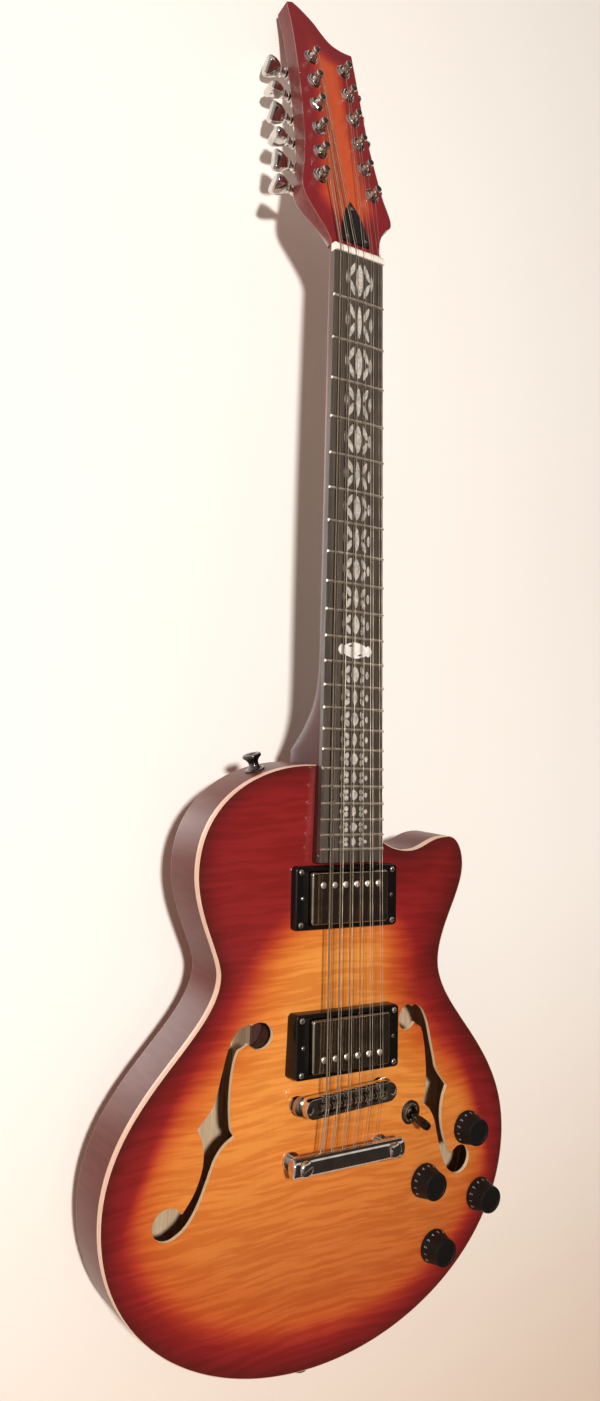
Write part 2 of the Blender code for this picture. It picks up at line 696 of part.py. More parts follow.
def make_tuner_strip(name, side, head_frame, finish):
    """Six closed gear housings on one strip, each with the bush that holds its post."""
    places = tuner_places(side)
    half = STRIP_WIDTH / 2
    first = (places[0][0], places[0][1] - HOUSING_LENGTH / 2)
    last = (places[-1][0], places[-1][1] + HOUSING_LENGTH / 2)
    middle = [first] + places[1:-1] + [last]
    outline = [(x - half, z) for x, z in middle] + [(x + half, z) for x, z in reversed(middle)]
    back = HEAD_THICKNESS + GAP
    strip = place(name, prism(outline, back, back + STRIP_THICKNESS), head_frame, finish=finish)
    housings = bmesh.new()
    bushes = bmesh.new()
    bores = bmesh.new()
    for x, z in places:
        box = rounded_box_outline(HOUSING_WIDTH, HOUSING_LENGTH, 2.5 * MM, 1)
        shifted = [(x + side * 1.5 * MM + px, z + pz) for px, pz in box]
        inner = [(x + side * 1.5 * MM + px * 0.86, z + pz * 0.88) for px, pz in box]
        top = back + HOUSING_HEIGHT
        rings = [[Vector((a, y, b)) for a, b in ring] for ring, y in
                 ((shifted, back + STRIP_THICKNESS / 2), (shifted, top - 1.2 * MM), (inner, top))]
        add_loft(housings, rings)
        profile = [(BUSH_RADIUS, back + STRIP_THICKNESS / 2), (BUSH_RADIUS, -GAP),
                   (FERRULE_RADIUS, -GAP), (FERRULE_RADIUS, -GAP - FERRULE_HEIGHT / 2),
                   (BUSH_RADIUS, -GAP - FERRULE_HEIGHT)]
        add_turned(bushes, profile, 10, at=(x, 0, z))
        add_turned(bores, [(POST_RADIUS + GAP, TUNER_AXIS_DEPTH - 4 * MM),
                           (POST_RADIUS + GAP, -FRAME_BLOCK)], 10, at=(x, 0, z))
    join(strip, place(f"{name}_housings", housings, head_frame))
    join(strip, place(f"{name}_bushes", bushes, head_frame))
    cut(strip, place(f"{name}_post_bores", bores, head_frame))
    key_bores = bmesh.new()
    for x, z in places:
        add_turned(key_bores, [(KEY_SHAFT_RADIUS + GAP, x + side * 1.5 * MM),
                               (KEY_SHAFT_RADIUS + GAP, x + side * 30 * MM)], 8, "X",
                   (0, TUNER_AXIS_DEPTH, z))
    cut(strip, place(f"{name}_key_bores", key_bores, head_frame))
    return strip


def make_tuner(index, side, word, head_frame, finish):
    """A string post with a waist, and the key that turns it."""
    x, z = tuner_places(side)[index]
    foot = TUNER_AXIS_DEPTH - 4 * MM - GAP
    profile = [(POST_RADIUS, foot), (POST_RADIUS, -3.2 * MM), (POST_WAIST, -5 * MM),
               (POST_RADIUS, -8 * MM), (POST_RADIUS - 0.4 * MM, -POST_HEIGHT)]
    place(f"tuner_post_{word}_{index + 1}", turned(profile, 10), head_frame, (x, 0, z),
          finish=finish)
    stem = turned([(KEY_SHAFT_RADIUS, side * (1.5 * MM + GAP)),
                   (KEY_SHAFT_RADIUS, side * (KEY_STEM - 2 * MM)),
                   (3.2 * MM, side * KEY_STEM), (3.2 * MM, side * (KEY_STEM + 2.5 * MM))], 8, "X")
    turn = (math.radians(KEY_TURNS[side][index]), 0, 0)
    at = (x, TUNER_AXIS_DEPTH, z)
    key = place(f"tuner_key_{word}_{index + 1}", stem, head_frame, at, turn, finish)
    rings = []
    for along, wide, thick in ((-0.05, 0.42, 0.45), (0.15, 0.82, 0.8), (0.45, 1.0, 0.78),
                               (0.85, 0.92, 0.84), (1.0, 0.62, 0.45)):
        ring = []
        for a, b in circle(1.0, 10, start=math.pi / 20):
            ring.append(Vector((side * (KEY_STEM + along * KEY_LENGTH),
                                b * thick * KEY_THICKNESS / 2, a * wide * KEY_WIDTH / 2)))
        rings.append(ring)
    join(key, place(f"key_wing_{word}_{index + 1}", loft(rings), head_frame, at, turn))
    return key


def make_pickup(name, size, neck_frame, clearance, finishes):
    """A raised mounting ring, and the covered pickup that stands in it."""
    at = (0, 0, -size["at"])
    outline = rounded_box_outline(RING_LENGTH, RING_WIDTH, RING_CORNER)
    ring = place(f"{name}_pickup_ring", prism(outline, size["ring_face"], FRAME_BLOCK / 2),
                 neck_frame, at, finish=finishes["black"])
    window = rounded_box_outline(COVER_LENGTH + 1.2 * MM, COVER_WIDTH + 1.2 * MM, COVER_CORNER)
    cut(ring, clearance)
    cut(ring, place(f"{name}_window", prism(window, -FRAME_BLOCK, FRAME_BLOCK), neck_frame, at))

    cover = rounded_box_outline(COVER_LENGTH, COVER_WIDTH, COVER_CORNER)
    lip = rounded_box_outline(COVER_LENGTH - 2 * MM, COVER_WIDTH - 2 * MM, COVER_CORNER - 1 * MM)
    face = size["cover_face"]
    rings = [[Vector((x, y, z)) for x, z in edge] for edge, y in
             ((lip, face), (cover, face + 1 * MM), (cover, face + COVER_DEPTH))]
    pickup = place(f"{name}_pickup", loft(rings), neck_frame, at, finish=finishes["nickel"])
    poles = bmesh.new()
    for index in range(6):
        x = (index - 2.5) * POLE_SPACING
        z = size["row"] * POLE_ROW
        add_prism(poles, circle(POLE_RADIUS, 10, (x, z)), face - 0.7 * MM, face + 1 * MM)
    join(pickup, place(f"{name}_poles", poles, neck_frame, at))


def string_offset(number, spread):
    """Sideways place of a string in its pair, from the spread of the course centres."""
    course = number // 2
    pair = -0.5 if number % 2 == 0 else 0.5
    return spread * (course / (COURSE_COUNT - 1) - 0.5) + pair * COURSE_GAP


def make_bridge(neck_frame, finishes):
    """Bar with a trough, six saddles, and the posts and thumbwheels that carry it."""
    frame = empty("bridge_frame", neck_frame, (0, 0, -BRIDGE_AT), (0, -BRIDGE_SLANT, 0))
    end = BRIDGE_WIDTH / 2 - 0.05 * MM
    outline = rounded_box_outline(BRIDGE_LENGTH, BRIDGE_WIDTH, end, 5)
    bottom = BRIDGE_FACE + BRIDGE_HEIGHT
    bridge = place("bridge", prism(outline, BRIDGE_FACE, bottom), frame, finish=finishes["chrome"])
    trough_half = BRIDGE_SPREAD / 2 + 7 * MM
    trough = block_cutter("bridge_trough", frame, (-trough_half, -FRAME_BLOCK, -4 * MM),
                          (trough_half, BRIDGE_FACE + 5 * MM, 4 * MM))
    cut(bridge, trough)
    saddles = bmesh.new()
    pitch = BRIDGE_SPREAD / (COURSE_COUNT - 1)
    for index in range(COURSE_COUNT):
        x = pitch * (index - (COURSE_COUNT - 1) / 2)
        low = x - pitch / 2 + 0.8 * MM
        high = x + pitch / 2 - 0.8 * MM
        section = [(-4.3 * MM, BRIDGE_FACE + 5.5 * MM), (-4.3 * MM, BRIDGE_FACE + 1 * MM),
                   (-0.7 * MM, SADDLE_TOP), (0.7 * MM, SADDLE_TOP),
                   (3.2 * MM, BRIDGE_FACE + 1 * MM), (3.2 * MM, BRIDGE_FACE + 5.5 * MM)]
        add_loft(saddles, [[Vector((side, y, z)) for z, y in section] for side in (low, high)])
    join(bridge, place("saddles", saddles, frame))
    posts = bmesh.new()
    for sign in (-1, 1):
        wheel = bottom + GAP
        profile = [(BRIDGE_POST_RADIUS, bottom - 1 * MM), (BRIDGE_POST_RADIUS, wheel),
                   (THUMBWHEEL_RADIUS, wheel), (THUMBWHEEL_RADIUS, wheel + THUMBWHEEL_HEIGHT),
                   (BRIDGE_POST_RADIUS, wheel + THUMBWHEEL_HEIGHT),
                   (BRIDGE_POST_RADIUS, post_floor())]
        add_turned(posts, profile, 12, at=(sign * BRIDGE_POST_SPAN / 2, 0, 0))
    join(bridge, place("bridge_posts", posts, frame))


def make_tailpiece(neck_frame, finishes):
    """Stop bar with rounded ends, and the flanged studs that hold it."""
    frame = empty("tailpiece_frame", neck_frame, (0, 0, -TAIL_AT))
    rings = []
    half = TAIL_LENGTH / 2
    mid_y = TAIL_FACE + TAIL_HEIGHT / 2
    for share, swell in ((-1.0, 0.45), (-0.965, 0.8), (-0.9, 1.0), (0.9, 1.0), (0.965, 0.8),
                         (1.0, 0.45)):
        ring = []
        for a, b in circle(1.0, 12):
            y = math.copysign(abs(b) ** 0.75, b) * TAIL_HEIGHT / 2 * (0.7 + 0.3 * swell)
            z = math.copysign(abs(a) ** 0.8, a) * TAIL_WIDTH / 2 * swell
            ring.append(Vector((share * half, mid_y + y, z)))
        rings.append(ring)
    tail = place("tailpiece", loft(rings), frame, finish=finishes["chrome"])
    studs = bmesh.new()
    bottom = TAIL_FACE + TAIL_HEIGHT
    for sign in (-1, 1):
        profile = [(TAIL_STUD_RADIUS + 1 * MM, TAIL_FACE - 1.6 * MM),
                   (TAIL_STUD_RADIUS + 1.6 * MM, TAIL_FACE - 0.8 * MM),
                   (TAIL_STUD_RADIUS + 1.6 * MM, TAIL_FACE + 1 * MM),
                   (TAIL_STUD_RADIUS, TAIL_FACE + 2 * MM), (TAIL_STUD_RADIUS, bottom + 0.4 * MM),
                   (TAIL_STUD_RADIUS + 2 * MM, bottom + 0.4 * MM),
                   (TAIL_STUD_RADIUS + 2 * MM, bottom + 2.2 * MM),
                   (TAIL_STUD_RADIUS, bottom + 2.2 * MM), (TAIL_STUD_RADIUS, post_floor())]
        add_turned(studs, profile, 12, at=(sign * TAIL_STUD_SPAN / 2, 0, 0))
    join(tail, place("tail_studs", studs, frame))


def make_controls(clearance, finishes):
    """Four bell knobs on their shafts, and the pickup switch with its lever."""
    names = ("neck_volume", "bridge_volume", "neck_tone", "bridge_tone")
    for name, (x, z) in zip(names, knob_places()):
        high = max(arch_at(x - KNOB_SKIRT_RADIUS, z), arch_at(x, z + KNOB_SKIRT_RADIUS),
                   arch_at(x - KNOB_SKIRT_RADIUS * 0.7, z + KNOB_SKIRT_RADIUS * 0.7))
        foot = RIM_Y - high - KNOB_CLEARANCE
        profile = [(KNOB_SHAFT_RADIUS, KNOB_SHAFT_DEPTH), (KNOB_SHAFT_RADIUS, 0.0),
                   (KNOB_SKIRT_RADIUS, 0.0), (KNOB_SKIRT_RADIUS, -1.6 * MM),
                   (KNOB_SKIRT_RADIUS - 1.3 * MM, -4.2 * MM),
                   (KNOB_TOP_RADIUS + 0.5 * MM, -7.5 * MM),
                   (KNOB_TOP_RADIUS, -KNOB_HEIGHT + 0.8 * MM),
                   (KNOB_TOP_RADIUS - 1 * MM, -KNOB_HEIGHT)]
        place(f"{name}_knob", turned(profile, 18), None, (x, foot, z), finish=finishes["black"])

    x, below = SWITCH_PLACE
    face = top_face_y(x, below)
    at = (x, face, SHOULDER_Z - below)
    throat = LEVER_RADIUS + 2.6 * MM
    washer = [(SWITCH_WASHER_RADIUS, 3 * MM), (SWITCH_WASHER_RADIUS, -1.2 * MM),
              (SWITCH_BARREL_RADIUS + 1 * MM, -SWITCH_WASHER_HEIGHT),
              (throat, -SWITCH_WASHER_HEIGHT)]
    switch = place("toggle_switch", turned(washer, 20), None, at, finish=finishes["nickel"])
    cut(switch, clearance)
    barrel = turned([(SWITCH_BARREL_RADIUS, SWITCH_BARREL_DEPTH),
                     (SWITCH_BARREL_RADIUS, -SWITCH_WASHER_HEIGHT / 2)], 16)
    join(switch, place("switch_barrel", barrel, None, at))
    pivot = LEVER_PIVOT_DEPTH
    throat_cut = turned([(LEVER_RADIUS + 1.3 * MM, pivot + 3.5 * MM),
                         (LEVER_RADIUS + 1.3 * MM, pivot),
                         (throat + 0.7 * MM, -SWITCH_WASHER_HEIGHT - 1 * MM)], 16)
    cut(switch, place("switch_throat", throat_cut, None, at))

    lever_at = (x, face + pivot, SHOULDER_Z - below)
    profile = [(1.1 * MM, 3.2 * MM), (LEVER_RADIUS + 0.7 * MM, 1.6 * MM),
               (LEVER_RADIUS + 0.7 * MM, -0.2 * MM), (LEVER_RADIUS, -1.4 * MM),
               (LEVER_RADIUS, -11 * MM), (LEVER_TIP_RADIUS - 0.5 * MM, -11 * MM),
               (LEVER_TIP_RADIUS, -15 * MM), (LEVER_TIP_RADIUS, -LEVER_LENGTH + 1 * MM),
               (LEVER_TIP_RADIUS - 1.2 * MM, -LEVER_LENGTH - 1 * MM)]
    place("toggle_lever", turned(profile, 12), None, lever_at, (LEVER_REST_TILT, 0, 0),
          finish=finishes["black"])


def edge_place(run, share):
    """A point of the outline and its outward direction, from a share of the run's length."""
    lengths = [(b - a).length for a, b in zip(run, run[1:])]
    goal = share * sum(lengths)
    for index, length in enumerate(lengths):
        if goal <= length:
            along = (run[index + 1] - run[index]) / length
            return run[index] + along * goal, Vector((along.y, -along.x))
        goal -= length
    raise ValueError("share must be within the run")


def make_strap_button(name, back, point, outward, finish):
    """Waisted button on its screw, on the middle of the rim, and the hole for the screw."""
    middle = RIM_Y + BODY_DEPTH / 2
    angle = math.atan2(outward.x, outward.y)
    at = (point.x, middle, point.y)
    frame = empty(f"{name}_frame", None, at, (0, angle, 0))
    start = GAP
    profile = [(STRAP_SCREW_RADIUS, -STRAP_SCREW_LENGTH), (STRAP_SCREW_RADIUS, start),
               (STRAP_RADIUS - 1.4 * MM, start), (STRAP_RADIUS - 1.4 * MM, start + 1.2 * MM),
               (STRAP_WAIST, start + 3.5 * MM), (STRAP_WAIST, start + 6 * MM),
               (STRAP_RADIUS, start + STRAP_HEIGHT - 2.4 * MM),
               (STRAP_RADIUS, start + STRAP_HEIGHT)]
    upright = (math.pi / 2, 0, 0)
    place(name, turned(profile, 18), frame, (0, 0, 0), upright, finish)
    hole = turned([(STRAP_SCREW_RADIUS + GAP, -STRAP_SCREW_LENGTH - GAP),
                   (STRAP_SCREW_RADIUS + GAP, STRAP_HEIGHT)], 12)
    cut(back, place(f"{name}_hole", hole, frame, (0, 0, 0), upright))


def make_rim_hardware(back, finishes):
    """Two strap buttons, and the output jack at the widest place of the treble side."""
    run = outline_run()
    point, outward = edge_place(run[:8], UPPER_STRAP_AT)
    make_strap_button("upper_strap_button", back, point, outward, finishes["dark_chrome"])
    tail = Vector((0.0, SHOULDER_Z - BODY_LENGTH))
    make_strap_button("lower_strap_button", back, tail, Vector((0, -1)), finishes["dark_chrome"])

    at = (LOWER_HALF, RIM_Y + BODY_DEPTH / 2, SHOULDER_Z - LOWER_AT)
    profile = [(JACK_RADIUS, -JACK_DEPTH), (JACK_RADIUS, GAP), (JACK_NUT_RADIUS, GAP),
               (JACK_NUT_RADIUS, GAP + JACK_NUT_HEIGHT),
               (JACK_RADIUS + 0.5 * MM, GAP + JACK_NUT_HEIGHT + 1 * MM),
               (JACK_BORE, GAP + JACK_NUT_HEIGHT + 1 * MM), (JACK_BORE, -JACK_DEPTH)]
    rings = []
    for radius, height in profile:
        rings.append([Vector((height, x, z)) for x, z in circle(radius, 18)])
    place("output_jack", loft(rings, capped=False), None, at, finish=finishes["nickel"])
    hole = bmesh.new()
    add_turned(hole, [(JACK_RADIUS + GAP, -JACK_DEPTH), (JACK_RADIUS + GAP, FRAME_BLOCK / 4)], 18,
               "X", at)
    cut(back, place("jack_hole", hole))


def string_route(number):
    """Points of one string in the neck's frame: tailpiece, saddle, nut, post."""
    radius = STRING_RADII[number] * MM
    side = -1 if number < COURSE_COUNT else 1
    turn = number if side < 0 else 2 * COURSE_COUNT - 1 - number
    post_x, post_z = tuner_places(side)[turn]
    at_bridge = string_offset(number, BRIDGE_SPREAD)
    at_nut = string_offset(number, NUT_SPREAD)
    saddle_z = -BRIDGE_AT + math.tan(BRIDGE_SLANT) * at_bridge
    over_saddle = SADDLE_TOP - GAP - radius
    over_nut = -NUT_HEIGHT - GAP - radius
    tail_front = -TAIL_AT + TAIL_WIDTH / 2 + GAP + radius
    route = [Vector((at_bridge, TAIL_FACE + TAIL_HEIGHT * 0.45, tail_front)),
             Vector((at_bridge, over_saddle, saddle_z)),
             Vector((at_nut, over_nut, GAP + 1 * MM))]
    reach = POST_RADIUS + 1.3 * GAP + radius
    start = math.pi if side > 0 else 0.0
    head = head_matrix()
    for step in range(7):
        angle = start + side * -2 * math.pi * step / 6
        height = -POST_HEIGHT + 3.8 * MM + 0.35 * MM * step
        route.append(head @ Vector((post_x + reach * math.cos(angle), height,
                                    post_z + reach * math.sin(angle))))
    return route


def make_string(number, neck_frame, finish):
    name = f"string_{number + 1:02d}"
    curve = bpy.data.curves.new(name, "CURVE")
    curve.dimensions = "3D"
    curve.bevel_depth = STRING_RADII[number] * MM
    curve.bevel_resolution = 1
    curve.use_fill_caps = True
    route = string_route(number)
    spline = curve.splines.new("POLY")
    spline.points.add(len(route) - 1)
    for point, place_at in zip(spline.points, route):
        point.co = (*place_at, 1.0)
    curve.materials.append(finish)
    thing = bpy.data.objects.new(name, curve)
    bpy.context.scene.collection.objects.link(thing)
    thing.parent = neck_frame
    return thing


def make_finishes():
    return {
        "body": material("brown cherry lacquer", (0.13, 0.04, 0.035), 0.2, 0.0),
        "neck": material("dark cherry lacquer", (0.16, 0.03, 0.03), 0.2, 0.0),
        "top": material("cherry sunburst", (0.62, 0.2, 0.06), 0.12, 0.0),
        "binding": material("cream binding", (0.83, 0.62, 0.45), 0.3, 0.0),
        "board": material("rosewood", (0.09, 0.065, 0.05), 0.45, 0.0),
        "bone": material("bone", (0.85, 0.8, 0.68), 0.35, 0.0),
        "black": material("black plastic", (0.012, 0.011, 0.011), 0.25, 0.0),
        "nickel": material("nickel", (0.62, 0.6, 0.56), 0.16, 1.0),
        "chrome": material("chrome", (0.75, 0.75, 0.75), 0.08, 1.0),
        "dark_chrome": material("dark chrome", (0.2, 0.18, 0.18), 0.15, 1.0),
        "steel": material("string steel", (0.6, 0.57, 0.52), 0.3, 1.0),
    }


def main():
    clear_scene()
    finishes = make_finishes()
    neck_frame = empty("neck_frame", rotation=(-NECK_ANGLE, 0, 0))
    head_frame = empty("head_frame", neck_frame, (0, HEAD_DROP, 0), (-HEAD_TILT, 0, 0))
    clearance = top_clearance(closed(outline_run()))
    top, back = make_body(neck_frame, finishes)
    make_neck(neck_frame, head_frame, finishes)
    make_fretboard(neck_frame, finishes)
    for side, word in ((-1, "bass"), (1, "treble")):
        make_tuner_strip(f"tuner_strip_{word}", side, head_frame, finishes["chrome"])
        for index in range(TUNER_COUNT):
            make_tuner(index, side, word, head_frame, finishes["chrome"])
    for name, size in PICKUPS.items():
        make_pickup(name, size, neck_frame, clearance, finishes)
    make_bridge(neck_frame, finishes)
    make_tailpiece(neck_frame, finishes)
    make_controls(clearance, finishes)
    make_rim_hardware(back, finishes)
    for number in range(2 * COURSE_COUNT):
        make_string(number, neck_frame, finishes["steel"])


main()
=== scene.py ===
"""Looks of the twelve-string semi-hollow guitar: its surfaces, finishes and studio.

Lengths are in metres. The neck's frame leans back from the body, and the headstock's frame tips
back once more; both are the ones that the solids were drawn in.
"""

import math

import bmesh
import bpy
import numpy as np
from mathutils import Matrix, Vector, geometry


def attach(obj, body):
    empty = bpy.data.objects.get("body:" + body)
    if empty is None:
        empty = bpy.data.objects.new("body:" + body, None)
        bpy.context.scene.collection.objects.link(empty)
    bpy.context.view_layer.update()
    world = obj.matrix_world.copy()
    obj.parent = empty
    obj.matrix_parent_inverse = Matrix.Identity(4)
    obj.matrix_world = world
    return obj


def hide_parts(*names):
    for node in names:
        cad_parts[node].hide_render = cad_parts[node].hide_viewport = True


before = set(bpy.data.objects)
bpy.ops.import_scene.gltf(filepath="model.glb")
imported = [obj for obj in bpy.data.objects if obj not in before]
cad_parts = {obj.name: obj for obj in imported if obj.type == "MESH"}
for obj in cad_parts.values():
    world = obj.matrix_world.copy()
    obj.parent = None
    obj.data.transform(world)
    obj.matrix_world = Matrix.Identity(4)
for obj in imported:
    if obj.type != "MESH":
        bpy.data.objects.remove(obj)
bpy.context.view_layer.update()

MM = 0.001
SIDES = ((-1, "bass"), (1, "treble"))

# Neck and board
SCALE_LENGTH = 628.65 * MM
FRET_COUNT = 22
NECK_ANGLE = math.radians(4.0)
NUT_WIDTH = 46.2 * MM
LAST_FRET_WIDTH = 57.2 * MM
BOARD_THICKNESS = 5.5 * MM
BOARD_CROWN = 0.9 * MM
BOARD_LENGTH = 462.0 * MM
FRET_BEAD = (2.2 * MM, 1.05 * MM)
NUT_LENGTH = 6.0 * MM
NUT_TOP = -1.75 * MM
SHAFT_DEPTH = (15.0 * MM, 16.4 * MM)
HEEL_START = 296.0 * MM
HEEL_FULL = 379.0 * MM
HEEL_SWEEP = 2.8
SHAFT_ROUNDNESS, HEEL_SQUARENESS = 1.9, 5.0
TENON_DEPTH = 30.0 * MM
GAP = 0.3 * MM

# Headstock and tuners
HEAD_TILT = math.radians(14.0)
HEAD_DROP = 3.0 * MM
HEAD_THICKNESS = 15.0 * MM
HEAD_VENEER = 0.9 * MM
HEAD_EDGE = 1.4 * MM
HEAD_WALL, HEAD_WALL_AT = 3.5 * MM, (7 * MM, 38 * MM)
POST_HOLES = (4.2 * MM, 4.3 * MM)
TRUSS_COVER = (12.5 * MM, 13 * MM, 39 * MM)
HEAD_BASS_EDGE = ((23.3, 7), (24.2, 13), (29, 23), (35, 33), (40.4, 43), (43, 53), (41.2, 65),
                  (37.2, 83), (33.9, 105), (32.4, 127), (31, 150), (30.2, 172), (30.4, 214),
                  (32.4, 239.5))
HEAD_TREBLE_EDGE = ((23.3, 7), (23.3, 15), (26.6, 26), (32.5, 36), (39.2, 42), (40.9, 48),
                    (39.8, 56), (36.5, 70), (33.2, 97), (31, 120), (29.9, 150), (28.4, 212),
                    (20, 211.5), (11.2, 212.7), (4.6, 216), (-2, 222.6), (-8.6, 230),
                    (-19.6, 238.2), (-27, 242))
TUNER_FIRST = 68.0 * MM
TUNER_PITCH = 24.2 * MM
TUNER_OFFSETS = (25.1, 21.5, 19.2, 17.9, 16.6, 16.0)
TUNER_AXIS_DEPTH = 22.0 * MM
POST_RADIUS = 3.0 * MM
STRIP_HALF, STRIP_PAST = 6 * MM, 8.5 * MM
HOUSING_SIZE = (14, 17)
KEY_TURNS = {-1: (70, 25, 80, 50, 95, 60), 1: (40, 85, 20, 75, 55, 90)}

# Body
SHOULDER_Z = -390.6 * MM
RIM_Y = -18.9 * MM
BODY_DEPTH = 44.5 * MM
BODY_LENGTH = 444.5 * MM
LOWER_HALF, LOWER_AT = 178.9 * MM, 303.0 * MM
WAIST_HALF, WAIST_AT = 99.2 * MM, 149.8 * MM
UPPER_HALF, UPPER_AT = 121.3 * MM, 75.0 * MM
HORN_HALF, HORN_AT = 120.0 * MM, 78.0 * MM
HORN_TIP = (103.5 * MM, 53.5 * MM)
SCOOP = (62.3 * MM, 64.0 * MM)
SCOOP_END = 49.0 * MM
BINDING_WIDTH = 0.55 * MM
BURST_WIDTH, BURST_BLEND = 60.0, 6.0
TOP_THICKNESS = 5.5 * MM
SOUNDBOARD = 3.0 * MM
CHAMBER_FLOOR = 6.5 * MM
ARCH_HEIGHT = 12.0 * MM
ARCH_CENTRE = 260.0 * MM
ARCH_POWER = 1.1
EDGE_ZONE = 0.35
CENTRE_BLOCK_HALF = 64.0 * MM
CHAMBER_ENDS = (SHOULDER_Z - 412.0 * MM, SHOULDER_Z - 128.0 * MM)
EYE_WELL = (12.5 * MM, 9.0 * MM)
BACK_EDGE = 4.0 * MM
RIM_WALL = 8.5 * MM
UPPER_EYE = (67.0, 192.6, 9.7)
LOWER_EYE = (130.4, 313.3, 11.5)
HOLE_INNER_EDGE = ((69, 192), (77.5, 199.3), (83.3, 203.4), (87, 218), (88.5, 238), (87.4, 254),
                   (84.5, 259.8), (92.5, 266), (98.5, 275), (103, 288), (107.8, 301.5),
                   (112.4, 311), (118.6, 319.2), (126.5, 324.1))
HOLE_OUTER_EDGE = ((130, 322), (128, 313), (121.5, 308.4), (112.8, 295), (108, 281), (107, 270),
                   (108.6, 260), (112.3, 251.5), (101.2, 238), (98, 228), (94, 213), (90, 199),
                   (83.5, 188), (74, 183.4))

# Hardware
PICKUPS = {"neck": (487.4, 5.6, 1.3, 1), "bridge": (591.7, 1.9, -2.4, -1)}
RING_SIZE = (93.0 * MM, 46.5 * MM, 3.5 * MM)
COVER_SIZE = (69.0 * MM, 38.0 * MM, 2.5 * MM)
PICKUP_WELL = 19.0 * MM
RING_SCREWS = (41.4, 18.9)
HEIGHT_SCREWS = 40.4
POLE_ROW, POLE_PITCH = 9.3 * MM, 10 * MM
BRIDGE_AT = 632.0 * MM
BRIDGE_SLANT = math.radians(2.9)
BRIDGE_FACE = -4.2 * MM
BRIDGE_HEIGHT = 10.2 * MM
BRIDGE_POSTS = 37.0 * MM
BRIDGE_BAR = (81 * MM, 14.5 * MM, 7.2 * MM)
SADDLE_TRAY = (62.5 * MM, 9.0 * MM, 0.8 * MM)
SADDLE_TOP = -6.0 * MM
TAIL_AT = 673.4 * MM
TAIL_FACE = -3.6 * MM
TAIL_STUDS = 39.5 * MM
TAIL_BAR = (49.5 * MM, 4.75 * MM, 7.5 * MM)
STRING_HOLES = TAIL_FACE + 4.2 * MM
COURSE_GAP = 2.3 * MM
NUT_SPREAD = 36.4 * MM
BRIDGE_SPREAD = 48.5 * MM
STRING_RADII = (0.58, 0.3, 0.48, 0.25, 0.4, 0.2, 0.3, 0.16, 0.2, 0.2, 0.15, 0.15)
KNOB_PLACES = {"neck_volume": (135.4, 287.9), "bridge_volume": (90.5, 321.2),
               "neck_tone": (154.6, 345.6), "bridge_tone": (108.0, 377.7)}
SWITCH_PLACE = (71.3, 265.0)
KNOB_HOLE, SWITCH_HOLE, JACK_BORE = 3.7 * MM, 5.9 * MM, 5.1 * MM
KNOB_SKIRT = 13.3 * MM
LEVER_REST_TILT = math.radians(10.0)


def shift(x, y, z):
    return Matrix.Translation((x, y, z))


def spin(angle, axis):
    return Matrix.Rotation(angle, 4, axis)


def quarter(steps):
    """Angles from 0 to a right angle."""
    return [math.pi / 2 * step / steps for step in range(steps + 1)]


def mm(rows):
    """Rows of millimetres as rows of metres."""
    return [tuple(number * MM for number in row) for row in rows]


def measured(rows):
    """A profile from (radius, level, height over that level); radius and height in millimetres."""
    return [(radius * MM, level + height * MM) for radius, level, height in rows]


NECK = spin(-NECK_ANGLE, "X")
HEAD = NECK @ shift(0, HEAD_DROP, 0) @ spin(-HEAD_TILT, "X")
HEAD_IN_NECK = shift(0, HEAD_DROP, 0) @ spin(-HEAD_TILT, "X")
JACK = shift(LOWER_HALF, RIM_Y + BODY_DEPTH / 2, SHOULDER_Z - LOWER_AT)


# ---- nodes written as expressions

class Value:
    """A node's socket that can stand in an expression."""

    def __init__(self, sheet, socket):
        self.sheet, self.socket = sheet, socket

    def math(self, operation, *others):
        return self.sheet.math(operation, self, *others)

    def __add__(self, other):
        return self.math("ADD", other)

    def __sub__(self, other):
        return self.math("SUBTRACT", other)

    def __rsub__(self, other):
        return self.sheet.math("SUBTRACT", other, self)

    def __mul__(self, other):
        return self.math("MULTIPLY", other)

    def __rpow__(self, other):
        return self.sheet.math("POWER", other, self)

    __radd__ = __add__
    __rmul__ = __mul__


class Sheet:
    """A tree of nodes: a finish, the world or a shape."""

    def __init__(self, tree):
        self.tree = tree

    def add(self, kind, settings=(), inputs=()):
        made = self.tree.nodes.new(kind)
        for name, setting in dict(settings).items():
            setattr(made, name, setting)
        for key, given in dict(inputs).items():
            if isinstance(given, Value):
                self.tree.links.new(given.socket, made.inputs[key])
            else:
                made.inputs[key].default_value = given
        return made

    def node(self, kind, settings=(), inputs=(), output=0):
        return Value(self, self.add(kind, settings, inputs).outputs[output])

    def math(self, operation, *terms):
        return self.node("ShaderNodeMath", {"operation": operation}, dict(enumerate(terms)))

    def vector(self, x=0.0, y=0.0, z=0.0):
        return self.node("ShaderNodeCombineXYZ", {}, {0: x, 1: y, 2: z})

    def axes(self, where=None):
        made = self.add("ShaderNodeSeparateXYZ", {}, {0: where or self.place})
        return [Value(self, socket) for socket in made.outputs]

    def between(self, value, low, high, start=0.0, end=1.0):
        """A value carried smoothly from one range onto another."""
        return self.node("ShaderNodeMapRange", {"interpolation_type": "SMOOTHSTEP"},
                         {0: value, 1: low, 2: high, 3: start, 4: end})

    def mix(self, factor, first, second, how="MIX"):
        first, second = (colour if isinstance(colour, Value) else (*colour, 1.0)
                         for colour in (first, second))
        return self.node("ShaderNodeMix", {"data_type": "RGBA", "blend_type": how},
                         {0: factor, 6: first, 7: second}, 2)


